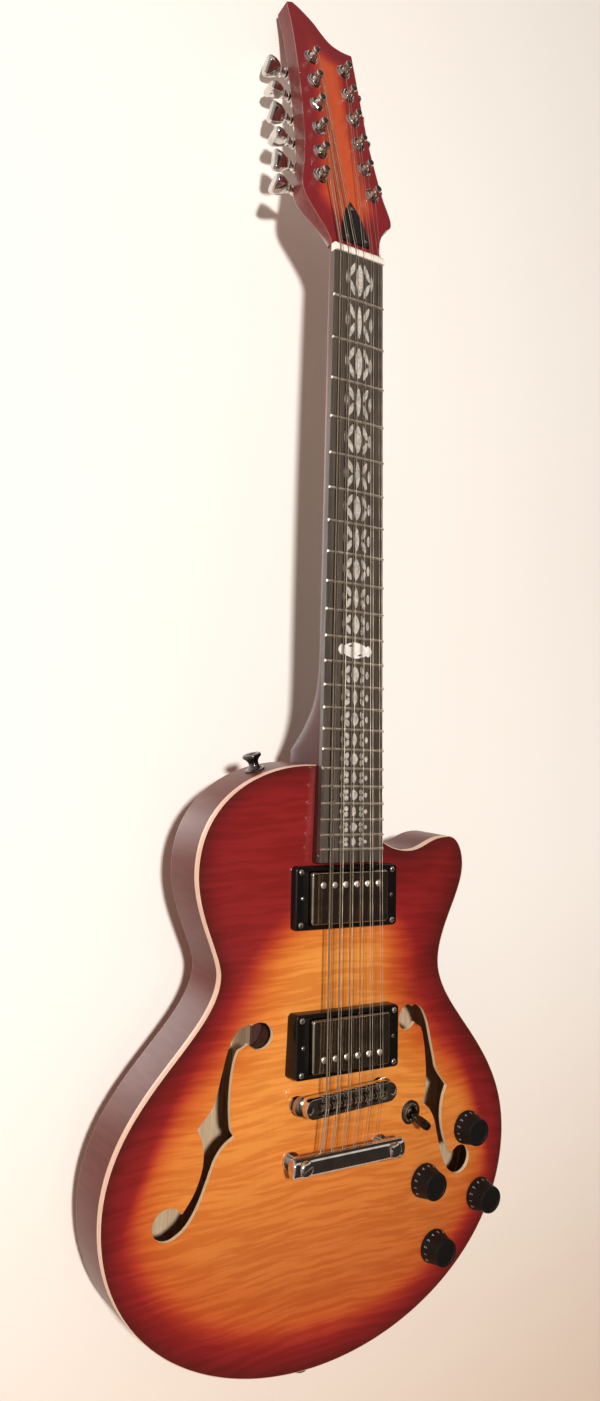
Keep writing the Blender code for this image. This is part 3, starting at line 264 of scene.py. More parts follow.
def paint(red, green, blue):
    """A colour as it is read off a screen, made linear."""
    def linear(level):
        level /= 255
        return level / 12.92 if level <= 0.04045 else ((level + 0.055) / 1.055) ** 2.4
    return (linear(red), linear(green), linear(blue))


class Finish(Sheet):
    """A material whose plain levels are set once, and whose colour and relief come from nodes."""

    def __init__(self, name, roughness=0.4, metallic=0.0, coat=0.0, coat_roughness=0.03,
                 specular=0.5):
        self.material = bpy.data.materials.new(name)
        self.material.use_nodes = True
        super().__init__(self.material.node_tree)
        self.shader = self.tree.nodes["Principled BSDF"]
        for label, level in (("Roughness", roughness), ("Metallic", metallic),
                             ("Coat Weight", coat), ("Coat Roughness", coat_roughness),
                             ("Specular IOR Level", specular)):
            self.shader.inputs[label].default_value = level
        self.place = self.node("ShaderNodeTexCoord", output="Object")

    def noise(self, where, scale=1.0, detail=2.0, rough=0.5, distortion=0.0):
        return self.node("ShaderNodeTexNoise", {}, {"Vector": where, "Scale": scale,
                         "Detail": detail, "Roughness": rough, "Distortion": distortion})

    def grain(self, stretch, detail, rough=0.5, distortion=0.0):
        """Noise whose waves per metre differ along the three axes."""
        where = self.node("ShaderNodeVectorMath", {"operation": "MULTIPLY"},
                          {0: self.place, 1: stretch})
        return self.noise(where, 1.0, detail, rough, distortion)

    def attribute(self, name):
        return self.node("ShaderNodeAttribute", {"attribute_name": name}, output="Fac")

    def ramp(self, value, stops):
        made = self.add("ShaderNodeValToRGB", {}, {0: value})
        elements = made.color_ramp.elements
        elements.remove(elements[-1])
        for index, (position, *colour) in enumerate(stops):
            stop = elements.new(position) if index else elements[0]
            stop.position = position
            stop.color = (*paint(*colour), 1.0)
        return Value(self, made.outputs[0])

    def feed(self, label, value):
        self.tree.links.new(value.socket, self.shader.inputs[label])

    def colour(self, value):
        self.feed("Base Color", value)

    def roughen(self, value):
        self.feed("Roughness", value)

    def relief(self, height, strength, distance):
        self.feed("Normal", self.node("ShaderNodeBump", {}, {
            "Height": height, "Strength": strength, "Distance": distance}))


def sunburst_lacquer():
    """A stained burst over curly maple: stripes across the grain, mirrored at the centre joint."""
    finish = Finish("sunburst_lacquer", roughness=0.32, coat=1.0, coat_roughness=0.04)
    depth = finish.attribute("burst")
    x, _, z = finish.axes()
    across = x.math("ABSOLUTE")
    wander = finish.noise(finish.vector(across * 16, 0.0, z * 14))
    level = z * 1000 + across * 60 + wander * 10
    stripes = finish.noise(finish.vector(across * 22, 1.7, level * 0.28), detail=1.0)
    fine = finish.noise(finish.vector(across * 60, 4.1, level * 0.6))
    figure = finish.between(stripes * 0.7 + fine * 0.3, 0.4, 0.6)
    grain = finish.grain((900, 300, 24), 3.0)
    stain = finish.ramp(depth + (stripes - 0.5) * 0.05, (
        (0.0, 90, 22, 21), (0.11, 124, 23, 27), (0.23, 148, 30, 30), (0.36, 182, 58, 33),
        (0.51, 208, 96, 38), (0.7, 226, 130, 50), (1.0, 238, 152, 66)))
    low = finish.between(z, -0.6, -0.8, 0.0, 0.8) * finish.between(depth, 0.3, 0.7)
    stain = finish.mix(low, stain, paint(196, 92, 38))
    shade = finish.mix(0.8 * (1 - figure), (1.0, 1.0, 1.0), (0.81, 0.65, 0.5))
    stain = finish.mix(1.0, stain, shade, "MULTIPLY")
    finish.colour(finish.mix(grain * 0.1, stain, (0.12, 0.03, 0.015)))
    finish.relief(finish.noise(finish.place, 7.0, 1.0), 0.06, 0.004)
    return finish.material


def headstock_lacquer():
    finish = Finish("headstock_lacquer", roughness=0.3, coat=1.0)
    grain = finish.grain((420, 420, 12), 4.0, 0.6)
    cloud = finish.noise(finish.place, 30.0)
    stain = finish.ramp(finish.attribute("burst") + (cloud - 0.5) * 0.1, (
        (0.0, 134, 34, 40), (0.25, 154, 42, 42), (0.5, 184, 58, 42), (0.8, 206, 84, 46),
        (1.0, 210, 88, 48)))
    finish.colour(finish.mix(finish.between(grain, 0.45, 0.75) * 0.22, stain, paint(96, 22, 22)))
    finish.relief(finish.noise(finish.place, 9.0, 1.0), 0.05, 0.003)
    return finish.material


def cherry_lacquer(name, light, dark, along, coat, specular, painted_shade_and_dull_from):
    """Gloss over straight-grained wood; below a height its colour darkens as painted shade and its
    coat thins, so it is duller there too.
    """
    finish = Finish(name, 0.35, coat_roughness=0.08, specular=specular)
    grain = finish.grain(along, 5.0, 0.6, 0.3)
    bands = finish.grain((8, 8, 60), 2.0)
    stain = finish.mix(finish.between(grain, 0.3, 0.72), light, dark)
    stain = finish.mix(finish.between(bands, 0.4, 0.75) * 0.35, stain, dark)
    # Painted shade: below the given height the colour is mixed towards a dark brown, and the coat
    # thins.
    painted_shade_and_dull = finish.between(finish.axes()[2], painted_shade_and_dull_from, painted_shade_and_dull_from - 0.2)
    finish.colour(finish.mix(painted_shade_and_dull * 0.8, stain, paint(62, 24, 21)))
    finish.feed("Coat Weight", finish.between(painted_shade_and_dull, 0.0, 1.0, coat, coat * 0.1))
    finish.relief(finish.noise(finish.place, 10.0, 1.0), 0.05, 0.003)
    return finish.material


def chamber_wood():
    """Bare wood inside the body: pale on the chambers' floor and on the upper end of the centre
    block's sides, and darkened elsewhere on the walls as painted shade.
    """
    finish = Finish("chamber_wood", roughness=0.75)
    grain = finish.grain((260, 260, 18), 5.0, 0.65)
    streaks = finish.between(grain, 0.3, 0.7)
    pale = finish.mix(streaks, paint(214, 190, 156), paint(182, 154, 120))
    # Painted shade: the dark wood stands in for the shade on the chambers' walls; the pale wood
    # stays on the floor and the upper end of the block's sides.
    dark = finish.mix(streaks, paint(92, 50, 34), paint(58, 28, 20))
    floor = RIM_Y + BODY_DEPTH - CHAMBER_FLOOR
    x, depth, z = finish.axes()
    unshaded = finish.between(depth, floor - 2 * MM, floor - 1 * MM)
    block_side = finish.between(x.math("ABSOLUTE"), CENTRE_BLOCK_HALF - 0.4 * MM,
                                CENTRE_BLOCK_HALF - 0.1 * MM)
    top_end = finish.between(z, SHOULDER_Z - 230 * MM, SHOULDER_Z - 226 * MM)
    unshaded = unshaded.math("MAXIMUM", block_side * top_end)
    finish.colour(finish.mix(unshaded, dark, pale))
    finish.relief(grain, 0.25, 0.0006)
    return finish.material


def ply_edge():
    """The sawn edge of the top: three layers of maple under a brushed clear coat, with a faint
    painted glow.
    """
    finish = Finish("ply_edge", roughness=0.5, coat=0.3)
    # Painted light: a faint cream emission makes the edge glow brighter than the lamps alone light
    # it.
    finish.shader.inputs["Emission Color"].default_value = (*paint(246, 206, 160), 1.0)
    finish.shader.inputs["Emission Strength"].default_value = 0.14
    grain = finish.grain((500, 1600, 500), 3.0)
    finish.colour(finish.mix(finish.between(grain, 0.35, 0.7), paint(246, 218, 180),
                             paint(222, 184, 140)))
    return finish.material


def board_wood():
    """Oiled dark fretboard wood: long streaks and short open pores."""
    finish = Finish("board_wood", roughness=0.5, coat=0.12, coat_roughness=0.3)
    streaks = finish.grain((300, 120, 9), 5.0, 0.65, 0.4)
    pores = finish.grain((2600, 900, 110), 2.0, 0.7)
    pit = finish.between(pores, 0.58, 0.7)
    wood = finish.mix(finish.between(streaks, 0.3, 0.72), paint(82, 70, 59), paint(48, 38, 32))
    finish.colour(finish.mix(pit * 0.7, wood, paint(22, 16, 13)))
    finish.roughen(finish.between(streaks, 0.3, 0.8, 0.42, 0.6))
    finish.relief(1 - pit, 0.3, 0.0004)
    return finish.material


def cream_plastic(name, light, dark, roughness):
    finish = Finish(name, roughness=roughness, coat=0.4)
    lines = finish.grain((40, 900, 40), 3.0)
    cloud = finish.noise(finish.place, 60.0, 3.0)
    finish.colour(finish.mix(finish.between(lines * 0.5 + cloud * 0.5, 0.35, 0.65), light, dark))
    return finish.material


def pearl(name, light, dark):
    """Shell: soft bands that change from cool to warm along their own waves."""
    finish = Finish(name, roughness=0.18, coat=0.8)
    fold = finish.grain((170, 170, 210), 4.0, 0.6, 1.2)
    warm = finish.noise(finish.place, 330.0, 2.0)
    shell = finish.mix(finish.between(fold, 0.3, 0.7), light, dark)
    warmth = finish.between(warm, 0.45, 0.7) * 0.35
    finish.colour(finish.mix(warmth, shell, paint(206, 178, 160)))
    return finish.material


def moulded_black(name, roughness, level=16):
    """Moulded plastic: near black, with faint flow clouds and fine handling scratches."""
    finish = Finish(name, roughness, specular=0.3)
    cloud = finish.noise(finish.place, 90.0, 3.0)
    finish.colour(finish.mix(cloud, paint(level, level - 2, level - 3),
                             paint(level + 8, level + 5, level + 4)))
    fine = finish.grain((1800, 300, 1800), 3.0)
    finish.roughen(finish.between(fine, 0.3, 0.75, roughness * 0.8, roughness * 1.4))
    finish.relief(cloud, 0.08, 0.0008)
    return finish.material


def plated(name, light, dark, roughness):
    """Plated metal: a cast of the base metal in clouds, and hairline polishing marks."""
    finish = Finish(name, roughness=roughness, metallic=1.0)
    cloud = finish.noise(finish.place, 120.0, 3.0)
    finish.colour(finish.mix(finish.between(cloud, 0.35, 0.7), light, dark))
    marks = finish.grain((400, 2400, 2400), 3.0)
    finish.roughen(finish.between(marks, 0.3, 0.8, roughness * 0.75, roughness * 1.7))
    return finish.material


def wire(name, light, dark, turns):
    """Drawn or wound wire: the windings run round the string, counted along its length."""
    finish = Finish(name, roughness=0.42, metallic=1.0)
    ridge = (finish.attribute("along") * (turns * 2 * math.pi)).math("SINE")
    finish.colour(finish.mix(finish.between(ridge, -1.0, 1.0), dark, light))
    finish.relief(ridge, 0.5, 0.0002)
    return finish.material


def ink():
    finish = Finish("dial_white", roughness=0.5)
    finish.colour(finish.mix(finish.noise(finish.place, 400.0), paint(190, 184, 174),
                             paint(160, 152, 142)))
    return finish.material


FINISH = {
    "top": sunburst_lacquer(),
    "head": headstock_lacquer(),
    "sides": cherry_lacquer("side_lacquer", paint(104, 45, 36), paint(90, 37, 29),
                            (30, 30, 300), 0.04, 0.18, -1.0),
    # Painted shade: the neck darkens downwards from about 80 mm below the nut, most on the heel.
    "neck": cherry_lacquer("neck_lacquer", paint(122, 54, 50), paint(98, 40, 37),
                           (420, 420, 14), 0.3, 0.12, -0.08),
    "inside": chamber_wood(),
    "ply": ply_edge(),
    "board": board_wood(),
    "binding": cream_plastic("cream_binding", paint(228, 190, 168), paint(216, 174, 150), 0.35),
    "bone": cream_plastic("nut_bone", paint(252, 242, 230), paint(240, 228, 212), 0.4),
    "pearl": pearl("grey_pearl", paint(206, 200, 190), paint(140, 138, 132)),
    "white_pearl": pearl("white_pearl", paint(250, 248, 242), paint(226, 222, 214)),
    "black": moulded_black("black_plastic", 0.2, 12),
    "knob": moulded_black("knob_plastic", 0.5, 9),
    "satin": moulded_black("satin_black_plastic", 0.5, 22),
    "nickel": plated("nickel_plate", paint(186, 172, 154), paint(160, 146, 130), 0.13),
    "chrome": plated("chrome_plate", paint(222, 216, 212), paint(200, 194, 190), 0.06),
    "dark_chrome": plated("dark_chrome", paint(104, 98, 98), paint(72, 68, 70), 0.14),
    "fret": plated("fret_wire", paint(244, 236, 222), paint(226, 216, 200), 0.38),
    "slot": plated("screw_slot", paint(60, 56, 52), paint(38, 35, 33), 0.4),
    "wound": wire("wound_string", paint(196, 180, 158), paint(94, 84, 72), 1700),
    "plain": wire("plain_string", paint(202, 188, 168), paint(174, 162, 144), 60),
    "ink": ink(),
}


# ---- meshes

class Shell:
    """Points and faces of one piece, gathered in a frame of its own before they become a mesh."""

    def __init__(self, at=Matrix(), lining=None):
        self.at, self.lining = at, lining
        self.points, self.faces, self.finishes = [], [], []

    def add(self, point):
        self.points.append(self.at @ Vector(point))
        return len(self.points) - 1

    def ring(self, points):
        return [self.add(point) for point in points]

    def face(self, corners, finish=0):
        self.faces.append(list(corners))
        self.finishes.append(finish)

    def skin(self, rows, caps=True, finish=0):
        """Join rows of points, closed by end faces or else on itself; one point is a pole."""
        pairs = list(zip(rows, rows[1:]))
        if not caps:
            pairs.append((rows[-1], rows[0]))
        for low, high in pairs:
            count = max(len(low), len(high))
            for index in range(count):
                after = (index + 1) % count
                corners = [low[index % len(low)], low[after % len(low)],
                           high[after % len(high)], high[index % len(high)]]
                unique = list(dict.fromkeys(corners))
                if len(unique) > 2:
                    self.face(unique, finish)
        if caps:
            for row in (rows[0], rows[-1]):
                if len(row) > 2:
                    self.face(row, finish)
        return self

    def loft(self, rings, caps=True, finish=0):
        return self.skin([self.ring(ring) for ring in rings], caps, finish)

    def stack(self, levels, caps=True):
        """Plan outlines one behind another, each with its Y level or a rule for it."""
        return self.loft([[(x, y(x, z) if callable(y) else y, z) for x, z in outline]
                          for outline, y in levels], caps)

    def turn(self, profile, sides, at=Matrix(), finish=0, caps=True):
        """A turned form from (radius, height) pairs; heights run along the frame's Y."""
        return self.loft([[at @ Vector((x, height, z)) for x, z in
                           (round_outline(radius, sides) if radius > 1e-6 else [(0, 0)])]
                          for radius, height in profile], caps, finish)

    def nut(self, profile, bore):
        """A six-sided nut from (radius, height) pairs in millimetres, and its bore's radius."""
        profile = [*profile, (bore, profile[-1][1]), (bore, profile[0][1])]
        return self.stack([(round_outline(radius, 6), y) for radius, y in mm(profile)], False)

    def plate(self, outline, front, back, soft=0.0, soft_back=None):
        """A flat piece with rounded front (and back) edges; front and back are Y levels."""
        levels = []
        for radius, edge, way in ((soft, front, 1),
                                  (soft if soft_back is None else soft_back, back, -1)):
            made = []
            for angle in quarter(2) if radius else [math.pi / 2]:
                drawn_in = shrunk(outline, radius * (1 - math.sin(angle))) if radius else outline
                made.append((drawn_in, edge + way * radius * (1 - math.cos(angle))))
            levels += made[::way]
        return self.stack(levels)

    def mesh(self, name):
        made = bpy.data.meshes.new(name)
        made.from_pydata([tuple(point) for point in self.points], [], self.faces)
        made.polygons.foreach_set("material_index", self.finishes)
        return made


def round_outline(radius, sides, centre=(0.0, 0.0), start=0.0):
    turns = [start + 2 * math.pi * index / sides for index in range(sides)]
    return [(centre[0] + radius * math.cos(a), centre[1] + radius * math.sin(a)) for a in turns]


def oblong(half_x, half_z):
    return [(-half_x, -half_z), (half_x, -half_z), (half_x, half_z), (-half_x, half_z)]


def box_outline(length, width, corner, steps=5, centre=(0.0, 0.0)):
    points = []
    for quarter in range(4):
        sign_x = 1 if quarter in (0, 3) else -1
        sign_z = 1 if quarter in (0, 1) else -1
        for step in range(steps + 1):
            angle = math.pi / 2 * (quarter + step / steps)
            points.append((centre[0] + sign_x * (length / 2 - corner) + corner * math.cos(angle),
                           centre[1] + sign_z * (width / 2 - corner) + corner * math.sin(angle)))
    return points


def shrunk(outline, distance):
    """A closed outline drawn inwards by a distance, whichever way round it is given."""
    area = sum(a[0] * b[1] - b[0] * a[1] for a, b in zip(outline, outline[1:] + outline[:1]))
    side = math.copysign(1.0, area)
    moved = []
    for index, (x, z) in enumerate(outline):
        before = Vector(outline[index - 1])
        here = Vector((x, z))
        after = Vector(outline[(index + 1) % len(outline)])
        first = (here - before).normalized()
        second = (after - here).normalized()
        normal = Vector((-first.y - second.y, first.x + second.x))
        normal = normal.normalized() if normal.length > 1e-9 else Vector((-first.y, first.x))
        spread = max(normal.dot(Vector((-first.y, first.x))), 0.35)
        here = here + normal * (side * distance / spread)
        moved.append((here.x, here.y))
    return moved


def smooth_line(points, corners=(), steps=6):
    """A curve through the points, with a break in direction at the named corners."""
    points = [Vector(point) for point in points]
    curve = []
    for index in range(len(points) - 1):
        start, end = points[index], points[index + 1]
        before = points[index - 1] if index > 0 and index not in corners else 2 * start - end
        last = index + 2 >= len(points) or index + 1 in corners
        after = 2 * end - start if last else points[index + 2]
        for step in range(steps):
            t = step / steps
            curve.append(0.5 * (2 * start + (end - before) * t
                                + (2 * before - 5 * start + 4 * end - after) * t * t
                                + (3 * start - before - 3 * end + after) * t ** 3))
    curve.append(points[-1])
    return [tuple(point) for point in curve]


def put(name, data):
    thing = bpy.data.objects.new(name, data)
    bpy.context.scene.collection.objects.link(thing)
    return thing


def baked(thing):
    """The plain mesh that an object comes to; the object itself goes."""
    made = bpy.data.meshes.new_from_object(
        thing.evaluated_get(bpy.context.evaluated_depsgraph_get()))
    bpy.data.objects.remove(thing)
    return made


def joined(name, meshes):
    work = bmesh.new()
    for mesh in meshes:
        work.from_mesh(mesh)
    made = bpy.data.meshes.new(name)
    work.to_mesh(made)
    work.free()
    return made


def tidy(mesh, smooth):
    """Turn the faces outwards, and shade smooth up to an angle."""
    work = bmesh.new()
    work.from_mesh(mesh)
    bmesh.ops.recalc_face_normals(work, faces=work.faces)
    work.to_mesh(mesh)
    work.free()
    mesh.shade_smooth()
    mesh.set_sharp_from_angle(angle=math.radians(smooth))
    return mesh


def place(name, mesh, finishes, stands_for=(), body="guitar"):
    """Put a finished mesh into the scene as one piece on its body."""
    kept = [face.material_index for face in mesh.polygons]
    mesh.materials.clear()
    for finish in finishes:
        mesh.materials.append(FINISH[finish])
    mesh.polygons.foreach_set("material_index", kept)
    thing = put(name, mesh)
    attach(thing, body)
    if stands_for:
        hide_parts(*stands_for)


def piece(name, shell, finishes, stands_for=(), body="guitar", smooth=32):
    place(name, tidy(shell.mesh(name), smooth), finishes, stands_for, body)


def shaped(mesh, steps):
    """The mesh after modifiers, given as (kind, settings)."""
    thing = put("bench", mesh)
    for kind, settings in steps:
        step = thing.modifiers.new(kind.lower(), kind)
        for name, setting in settings.items():
            setattr(step, name, setting)
    return baked(thing)


def carved(mesh, cuts, joins=()):
    """The mesh after meshes are joined to it and closed shells are cut away from it."""
    tools, steps = [], []
    for shape in [*joins, *cuts]:
        cut = isinstance(shape, Shell)
        tool = put("tool", tidy(shape.mesh("tool") if cut else shape, 30))
        if cut and shape.lining:
            tool.data.materials.append(FINISH[shape.lining])
        tool.hide_render = True
        tools.append(tool)
        steps.append(("BOOLEAN", {"operation": "DIFFERENCE" if cut else "UNION", "object": tool,
                                  "solver": "EXACT", "material_mode": "TRANSFER"}))
    bpy.context.view_layer.update()
    made = shaped(tidy(mesh, 32), steps)
    for tool in tools:
        bpy.data.objects.remove(tool)
    return tidy(made, 32)


# ---- shapes that follow a rule

class Shape(Sheet):
    """A geometry tree with named inputs; it ends in real meshes that carry a finish."""

    def __init__(self, name, inputs):
        tree = bpy.data.node_groups.new(name, "GeometryNodeTree")
        tree.is_modifier = True
        super().__init__(tree)
        tree.interface.new_socket("Geometry", in_out="INPUT", socket_type="NodeSocketGeometry")
        self.keys = {}
        for label, kind in {**inputs, "Finish": "Material"}.items():
            made = tree.interface.new_socket(label, in_out="INPUT",
                                             socket_type=f"NodeSocket{kind}")
            self.keys[label] = made.identifier
        tree.interface.new_socket("Geometry", in_out="OUTPUT", socket_type="NodeSocketGeometry")
        self.given = tree.nodes.new("NodeGroupInput")
        self.geometry = self.input("Geometry")

    def input(self, label):
        return Value(self, self.given.outputs[label])

    def circle(self, sides, radius):
        return self.node("GeometryNodeCurvePrimitiveCircle", {"mode": "RADIUS"},
                         {"Resolution": sides, "Radius": radius}, "Curve")

    def sweep(self, line, section):
        return self.node("GeometryNodeCurveToMesh", {}, {
            "Curve": line, "Profile Curve": section, "Fill Caps": True})

    def repeat(self, points, instance, **turned):
        return self.finish(self.node("GeometryNodeInstanceOnPoints", {}, {
            "Points": points, "Instance": instance, **turned}))

    def finish(self, result):
        result = self.node("GeometryNodeRealizeInstances", {}, {0: result})
        result = self.node("GeometryNodeSetMaterial", {}, {"Geometry": result,
                                                           "Material": self.input("Finish")})
        out = self.tree.nodes.new("NodeGroupOutput")
        self.tree.links.new(result.socket, out.inputs[0])
        return self

    def grow(self, start, **values):
        """Run the tree on a mesh or curve, and give back the plain mesh."""
        thing = put("bench", start)
        step = thing.modifiers.new("shape", "NODES")
        step.node_group = self.tree
        for label, value in values.items():
            step[self.keys[label.replace("_", " ").capitalize()]] = value
        bpy.context.view_layer.update()
        return baked(thing)


def scatter_shape():
    """Sets one pattern piece at every point, turned as the point's own turn says."""
    shape = Shape("set_out_pieces", {"Pattern": "Object"})
    pattern = shape.node("GeometryNodeObjectInfo", {"transform_space": "ORIGINAL"},
                         {"Object": shape.input("Pattern")}, "Geometry")
    turn = shape.node("GeometryNodeInputNamedAttribute", {"data_type": "FLOAT_VECTOR"},
                      {"Name": "turn"})
    rotation = shape.node("FunctionNodeEulerToRotation", {}, {0: turn})
    points = shape.node("GeometryNodeMeshToPoints", {}, {"Mesh": shape.geometry})
    return shape.repeat(points, pattern, Rotation=rotation)


def fret_shape():
    """Frets by the rule of equal temper: each is a crowned bead across the tapered board."""
    shape = Shape("frets_by_rule", {"Fret count": "Int", "Scale length": "Float",
                                    "Nut width": "Float", "Widening": "Float", "Crown": "Float",
                                    "Bead width": "Float", "Bead height": "Float"})
    line = shape.node("GeometryNodeCurvePrimitiveLine", {},
                      {"Start": (-0.5, 0, 0), "End": (0.5, 0, 0)})
    line = shape.node("GeometryNodeResampleCurve", {}, {"Curve": line, "Count": 15})
    x = shape.axes(shape.node("GeometryNodeInputPosition"))[0]
    sag = shape.vector(y=x * x * 4 * shape.input("Crown"))
    line = shape.node("GeometryNodeSetPosition", {}, {"Geometry": line, "Offset": sag})
    flat = shape.vector(shape.input("Bead width") * 0.5, shape.input("Bead height"), 1.0)
    section = shape.node("GeometryNodeTransform", {}, {"Geometry": shape.circle(14, 1.0),
                                                       "Scale": flat})
    number = shape.node("GeometryNodeInputIndex") + 1
    reach = shape.input("Scale length") * (1 - 2 ** (number * (-1 / 12)))
    width = shape.input("Nut width") + shape.input("Widening") * reach
    spots = shape.node("GeometryNodePoints", {}, {"Count": shape.input("Fret count"),
                                                  "Position": shape.vector(z=reach * -1)})
    return shape.repeat(spots, shape.sweep(line, section), Scale=shape.vector(width, 1.0, 1.0))


def wire_shape():
    """A round wire along a curve, with its length kept for the windings."""
    shape = Shape("drawn_wire", {"Radius": "Float", "Sides": "Int"})
    run = shape.node("GeometryNodeSplineParameter", output="Length")
    curve = shape.node("GeometryNodeStoreNamedAttribute",
                       {"data_type": "FLOAT", "domain": "POINT"},
                       {"Geometry": shape.geometry, "Name": "along", "Value": run})
    section = shape.circle(shape.input("Sides"), shape.input("Radius"))
    return shape.finish(shape.sweep(curve, section))


def rim_shape():
    """Even ridges round a wheel's edge, as a knurl has."""
    shape = Shape("knurled_rim", {"Radius": "Float", "Height": "Float", "Ridges": "Int"})
    rim = shape.circle(shape.input("Ridges"), shape.input("Radius"))
    points = shape.node("GeometryNodeCurveToPoints", {"mode": "EVALUATED"}, {"Curve": rim})
    ridge = shape.node("GeometryNodeMeshCylinder", {}, {
        "Vertices": 6, "Radius": shape.input("Radius") * 0.07, "Depth": shape.input("Height")},
        "Mesh")
    return shape.repeat(points, ridge)


SCATTER = scatter_shape()
FRETS = fret_shape()
WIRE = wire_shape()
RIM = rim_shape()


def set_out(name, pattern, places, finish, stands_for=(), smooth=32):
    """Repeat a pattern, a shell or a mesh, at every placing matrix, as one piece."""
    model = pattern.mesh("pattern") if isinstance(pattern, Shell) else pattern
    model = put("pattern", tidy(model, smooth))
    spots = bpy.data.meshes.new("spots")
    spots.from_pydata([tuple(at.translation) for at in places], [], [])
    turn = spots.attributes.new("turn", "FLOAT_VECTOR", "POINT")
    turn.data.foreach_set("vector", [level for at in places for level in at.to_euler("XYZ")])
    mesh = SCATTER.grow(spots, pattern=model, finish=FINISH[finish])
    bpy.data.objects.remove(model)
    mesh.set_sharp_from_angle(angle=math.radians(smooth))
    place(name, mesh, [finish], stands_for)


# ---- the body's plan and arch

def bezier(start, end, leave, arrive, spacing=2.4 * MM):
    first, last = Vector(start), Vector(end)
    second, third = first + Vector(leave), last + Vector(arrive)
    steps = max(4, math.ceil((last - first).length / spacing))
    made = []
    for step in range(steps):
        t = step / steps
        made.append(first * (1 - t) ** 3 + second * 3 * t * (1 - t) ** 2
                    + third * 3 * t * t * (1 - t) + last * t ** 3)
    return made


def fret_distance(number):
    return SCALE_LENGTH * (1 - 2 ** (-number / 12))


def board_half_width(distance):
    widening = (LAST_FRET_WIDTH - NUT_WIDTH) * distance / fret_distance(FRET_COUNT)
    return (NUT_WIDTH + widening) / 2


HEEL_HALF = board_half_width(-SHOULDER_Z)


def bouts(side):
    waist, lower = (side * WAIST_HALF, -WAIST_AT), (side * LOWER_HALF, -LOWER_AT)
    run, drop = LOWER_AT - WAIST_AT, BODY_LENGTH - LOWER_AT
    return (bezier(waist, lower, (0, -0.28 * run), (0, 0.506 * run))
            + bezier(lower, (0.0, -BODY_LENGTH), (0, -0.606 * drop),
                     (side * 0.52 * LOWER_HALF, 0)))


def body_edge():
    """The body's edge from the bass side of the heel, round the tail, to the treble side.

    Each curve's handles are shares of the way that it covers across or along the body.
    """
    start, upper = (-HEEL_HALF - GAP, 0.0), (-UPPER_HALF, -UPPER_AT)
    waist = (-WAIST_HALF, -WAIST_AT)
    reach, run = UPPER_HALF - HEEL_HALF, WAIST_AT - UPPER_AT
    points = bezier(start, upper, (-0.515 * reach, 0), (0, 0.66 * UPPER_AT))
    points += bezier(upper, waist, (0, -0.417 * run), (0, 0.203 * run))
    points += bouts(-1) + [Vector((0.0, -BODY_LENGTH))] + bouts(1)[:0:-1]
    waist, horn = (WAIST_HALF, -WAIST_AT), (HORN_HALF, -HORN_AT)
    tip, scoop = (HORN_TIP[0], -HORN_TIP[1]), (SCOOP[0], -SCOOP[1])
    end = (HEEL_HALF + 2 * GAP, -SCOOP_END)
    climb, lift = WAIST_AT - HORN_AT, HORN_AT - HORN_TIP[1]
    draw, span = HORN_HALF - HORN_TIP[0], HORN_TIP[0] - SCOOP[0]
    points += bezier(waist, horn, (0, 0.358 * climb), (0, -0.296 * climb))
    points += bezier(horn, tip, (0, 0.478 * lift), (0.643 * draw, 0), 1.8 * MM)
    points += bezier(tip, scoop, (-0.51 * span, 0), (0.415 * span, 0), 1.8 * MM)
    span = SCOOP[0] - HEEL_HALF
    points += bezier(scoop, end, (-0.41 * span, 0), (0.19 * span, -0.25 * span), 1.8 * MM)
    points.append(Vector(end))
    return [Vector((point.x, point.y + SHOULDER_Z)) for point in points]


def inset(points, distance):
    moved = []
    for index, point in enumerate(points):
        before, after = points[max(index - 1, 0)], points[min(index + 1, len(points) - 1)]
        along = (after - before).normalized()
        moved.append(point + Vector((-along.y, along.x)) * distance)
    return moved


BODY_EDGE = body_edge()
BODY_PLAN = BODY_EDGE + [Vector((HEEL_HALF, SHOULDER_Z))]


def reach_tables():
    """Distance from the arch's centre to the edge by direction, and a softened copy of it."""
    directions, spread, reach = 1440, 40, 120
    offsets = np.array([(p.x, p.y - SHOULDER_Z + ARCH_CENTRE) for p in BODY_PLAN])
    turns = np.arctan2(offsets[:, 1], offsets[:, 0])
    order = np.argsort(turns)
    even = np.linspace(-math.pi, math.pi, directions, endpoint=False)
    sharp = np.interp(even, turns[order], np.hypot(*offsets.T)[order], period=2 * math.pi)
    kernel = np.exp(-0.5 * (np.arange(-reach, reach + 1) / spread) ** 2)
    wrapped = np.concatenate([sharp[-reach:], sharp, sharp[:reach]])
    soft = np.convolve(wrapped, kernel / kernel.sum(), "valid")
    return even, sharp, soft


DIRECTIONS, SHARP_REACH, SOFT_REACH = reach_tables()


def rise(x, z):
    """Height of the arched face over the rim plane, for one place or arrays of them."""
    x, z = np.asarray(x, float), np.asarray(z, float) - SHOULDER_Z + ARCH_CENTRE
    away, turn = np.hypot(x, z), np.arctan2(z, x)
    sharp = np.interp(turn, DIRECTIONS, SHARP_REACH, period=2 * math.pi)
    soft = np.interp(turn, DIRECTIONS, SOFT_REACH, period=2 * math.pi)
    share = np.clip(away / sharp, 0, 1)
    near_edge = np.clip((share - EDGE_ZONE) / (1 - EDGE_ZONE), 0, 1)
    near_edge = near_edge * near_edge * (3 - 2 * near_edge)
    share = np.clip(away / (sharp * near_edge + soft * (1 - near_edge)), 0, 1)
    return ARCH_HEIGHT * np.cos(math.pi / 2 * share ** ARCH_POWER) ** 2


def face_y(x, z):
    return RIM_Y - float(rise(x, z))


